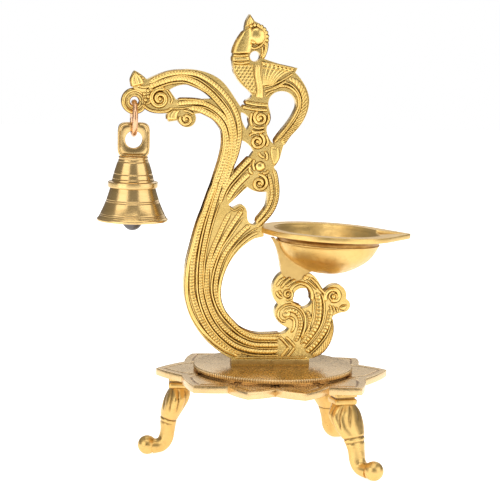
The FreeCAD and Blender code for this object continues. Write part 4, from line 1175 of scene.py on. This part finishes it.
def turned_here(profile, tones, columns):
    """A profile of (radius, height above the mouth) turned round the bell's axis."""
    a = circle(columns)
    r, z = profile[:, :1] * MM, profile[:, 1:] * MM
    return (joined(BELL_X + r * np.cos(a), AXIS_Y + r * np.sin(a), MOUTH * MM + z), tones, True, False)


def bell_shell():
    """Outside with its collar and turned lines, then down the inside; each line is a groove
    0.24 * exp(-((z - line) / 0.24)**2) deep."""
    skirt = route([(22.0, 2.5), (21.2, 4.2), (19.43, 7.8), (17.7, 12), (16.3, 16), (15.2, 19.6),
                   (14.6, 21.8)], 0.22)
    collar = softened([(14.6, 21.9), (15.9, 21.95), (16.1, 22.3), (16.1, 25.2), (15.9, 25.6),
                       (13.95, 25.75)], 0.3)
    upper = route([(13.7, 25.9), (13.3, 27.8), (12.75, 29.8), (12.1, 32.2), (11.3, 34.8), (10.4, 37.6),
                   (9.3, 40.3)], 0.22)
    lip = softened([(20.1, 0.0), (22.9, 0.25), (23.0, 1.6), (22.2, 2.3), (22.0, 2.5)], 0.35)
    outside = np.concatenate([lip, skirt, collar, upper, [[8.6, 41.0], [0.0, 41.0]]])
    cut = np.zeros(len(outside))
    for line in (3.6, 4.6, 12.6, 13.8, 27.4, 30.6, 38.6):
        cut = np.maximum(cut, np.exp(-((outside[:, 1] - line) / LINE_DEEP) ** 2))
    in_reach = (outside[:, 1] > 2.6) & (outside[:, 1] < 40)
    outside[:, 0] -= LINE_DEEP * cut * in_reach
    inside = route([(20.1, 0.0), (17.3, 6.9), (14.6, 14.3), (11.6, 23.8), (8.7, 34.4), (6.9, 36.9),
                    (0.0, 37.5)], 1.2)
    profile = np.concatenate([inside[::-1], outside])
    # Painted shade: the inside of the bell is darkened (tone 0.25), and the turned lines are darkened along
    # their grooves with the brown of old polish.
    tone = np.concatenate([np.full(len(inside), 0.25), 0.85 - 0.75 * cut * in_reach])[:, None]
    return [turned_here(profile, tone, 120)]


def bell_loop():
    """Flat loop: rings from the hole's edge out to the rounded rectangle |x/a|**5 + |z/b|**5 = 1."""
    a = circle(144)
    half_wide, bar, below = 10.3, 11.0, 11.8
    reach = np.where(np.sin(a) > 0, bar, below)
    edge = (np.abs(np.cos(a) / half_wide) ** 5 + np.abs(np.sin(a) / reach) ** 5) ** (-0.2)
    rows = [(0.0, 1.7), (0.02, 2.0), (0.08, 2.2), (0.50, 2.2), (0.70, 2.2), (0.735, 1.95), (0.77, 2.2),
            (0.92, 2.2),
            (0.98, 2.0), (1.0, 1.7)]
    half = np.array(rows + [(s, -d) for s, d in rows[::-1]])
    share, depth = half[:, :1], half[:, 1:]
    radius = 5.6 + (edge - 5.6) * share
    points = joined(BELL_X + radius * np.cos(a) * MM, AXIS_Y - depth * MM,
                    (MOUTH + LOOP_RISE + radius * np.sin(a)) * MM)
    # Painted shade and old polish: the chased line's groove is darkened (tone 0.2).
    groove = np.where(np.abs(share - 0.735) < 0.01, 0.2, 0.85)
    return [(points, groove, True, True)]


bell_metal = build("bell_shell", bell_shell(), "bell", "bell_bronze", sharp=38)
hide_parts("bell_body")
build("bell_loop", bell_loop(), "bell", "bell_bronze", sharp=50)
build("bell_seat", [turned_here(softened([(0, 39.8), (9.2, 39.8), (9.66, 41.6), (8.3, 42.4), (0, 42.4)],
                                         0.5), 0.5, 96)],
      "bell", "bell_bronze", sharp=50)

# %% [markdown]
# The ring and the ball take their place and size from the frame, and only their surfaces are new: a wire
# that was bent by hand, and a ball that was hammered round.

# %% Ring and clapper ball
def wire_ring():
    """A torus in the YZ plane, open for 1.5 degrees; its wire thins by up to 3 percent in slow waves."""
    low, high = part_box("hanging_ring")
    middle = (np.array(low) + np.array(high)) / 2
    outer, wire = (high.z - low.z) / 2, (high.x - low.x) / 2
    turn = np.radians(np.concatenate([[0.0], np.linspace(0, 358.5, 144), [358.5]]))[:, None]
    a = circle(24)
    thick = wire * (1 - 0.03 * (0.5 + 0.5 * np.sin(3 * turn + 0.7)) * np.sin(2 * a + turn) ** 2)
    reach = outer - wire + thick * np.cos(a)
    grid = joined(thick * np.sin(a), reach * np.cos(turn), reach * np.sin(turn)) + middle
    return [(capped([grid])[0], 0.8, True, False)]


def iron_ball():
    """A hammered ball: the radius dips by up to 5 percent in broad flats from a product of slow waves."""
    low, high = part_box("clapper_ball")
    middle = (np.array(low) + np.array(high)) / 2
    b = np.linspace(-math.pi / 2, math.pi / 2, 41)[:, None]
    a = circle(72)
    flats = np.abs(np.sin(2.5 * b + 0.6) * np.sin(3 * a + 2 * b)) ** 2 * np.cos(b) ** 2
    radius = (high.z - low.z) / 2 * (1 - 0.05 * flats)
    points = joined(radius * np.cos(b) * np.cos(a), radius * np.cos(b) * np.sin(a), radius * np.sin(b))
    return [(points + middle, 0.8 - 0.4 * flats, True, False)]


ring = build("wire_ring", wire_ring(), "ring", "copper_brass")
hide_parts("hanging_ring")
ball = build("iron_ball", iron_ball(), "clapper", "iron")
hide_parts("clapper_ball")

# %% [markdown]
# ## The casting itself
#
# Under the ornament the casting's own solid is right, but its edges are razor sharp, which no casting
# is.  A copy of its mesh is merged, its flat triangles are dissolved into whole faces, and the corners
# are rounded by about half a millimetre.

# %% Rounded castings from the solids
CORNER = math.radians(35)


def rounded_copy(node, name, body, radius):
    """A merged copy of a solid, its corners sharper than 35 degrees rounded; it stands for the node."""
    mesh = frame["nodes"][node].data.copy()
    mesh.name = name
    shell = bmesh.new()
    shell.from_mesh(mesh)
    bmesh.ops.remove_doubles(shell, verts=shell.verts, dist=2e-6)
    bmesh.ops.dissolve_limit(shell, angle_limit=math.radians(0.6), verts=shell.verts, edges=shell.edges)
    shell.to_mesh(mesh)
    shell.free()
    rise = mesh.attributes.new("rise", "FLOAT", "POINT")
    rise.data.foreach_set("value", np.full(len(mesh.vertices), 0.6, np.float32))
    piece = bpy.data.objects.new(name, mesh)
    scene.collection.objects.link(piece)
    bevel = piece.modifiers.new("rounded", "BEVEL")
    bevel.width = radius * MM
    bevel.segments = 3
    bevel.limit_method = "ANGLE"
    bevel.angle_limit = CORNER
    mesh.polygons.foreach_set("use_smooth", np.ones(len(mesh.polygons), bool))
    mesh.set_sharp_from_angle(angle=CORNER)
    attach(piece, body)
    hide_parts(node)
    print("%-18s %6d faces" % (name, len(mesh.polygons)))
    return piece


rounded_copy("scroll_panel", "scroll_casting", "stand", 0.6)
rounded_copy("cup_stem", "stem_web", "stand", 0.5)
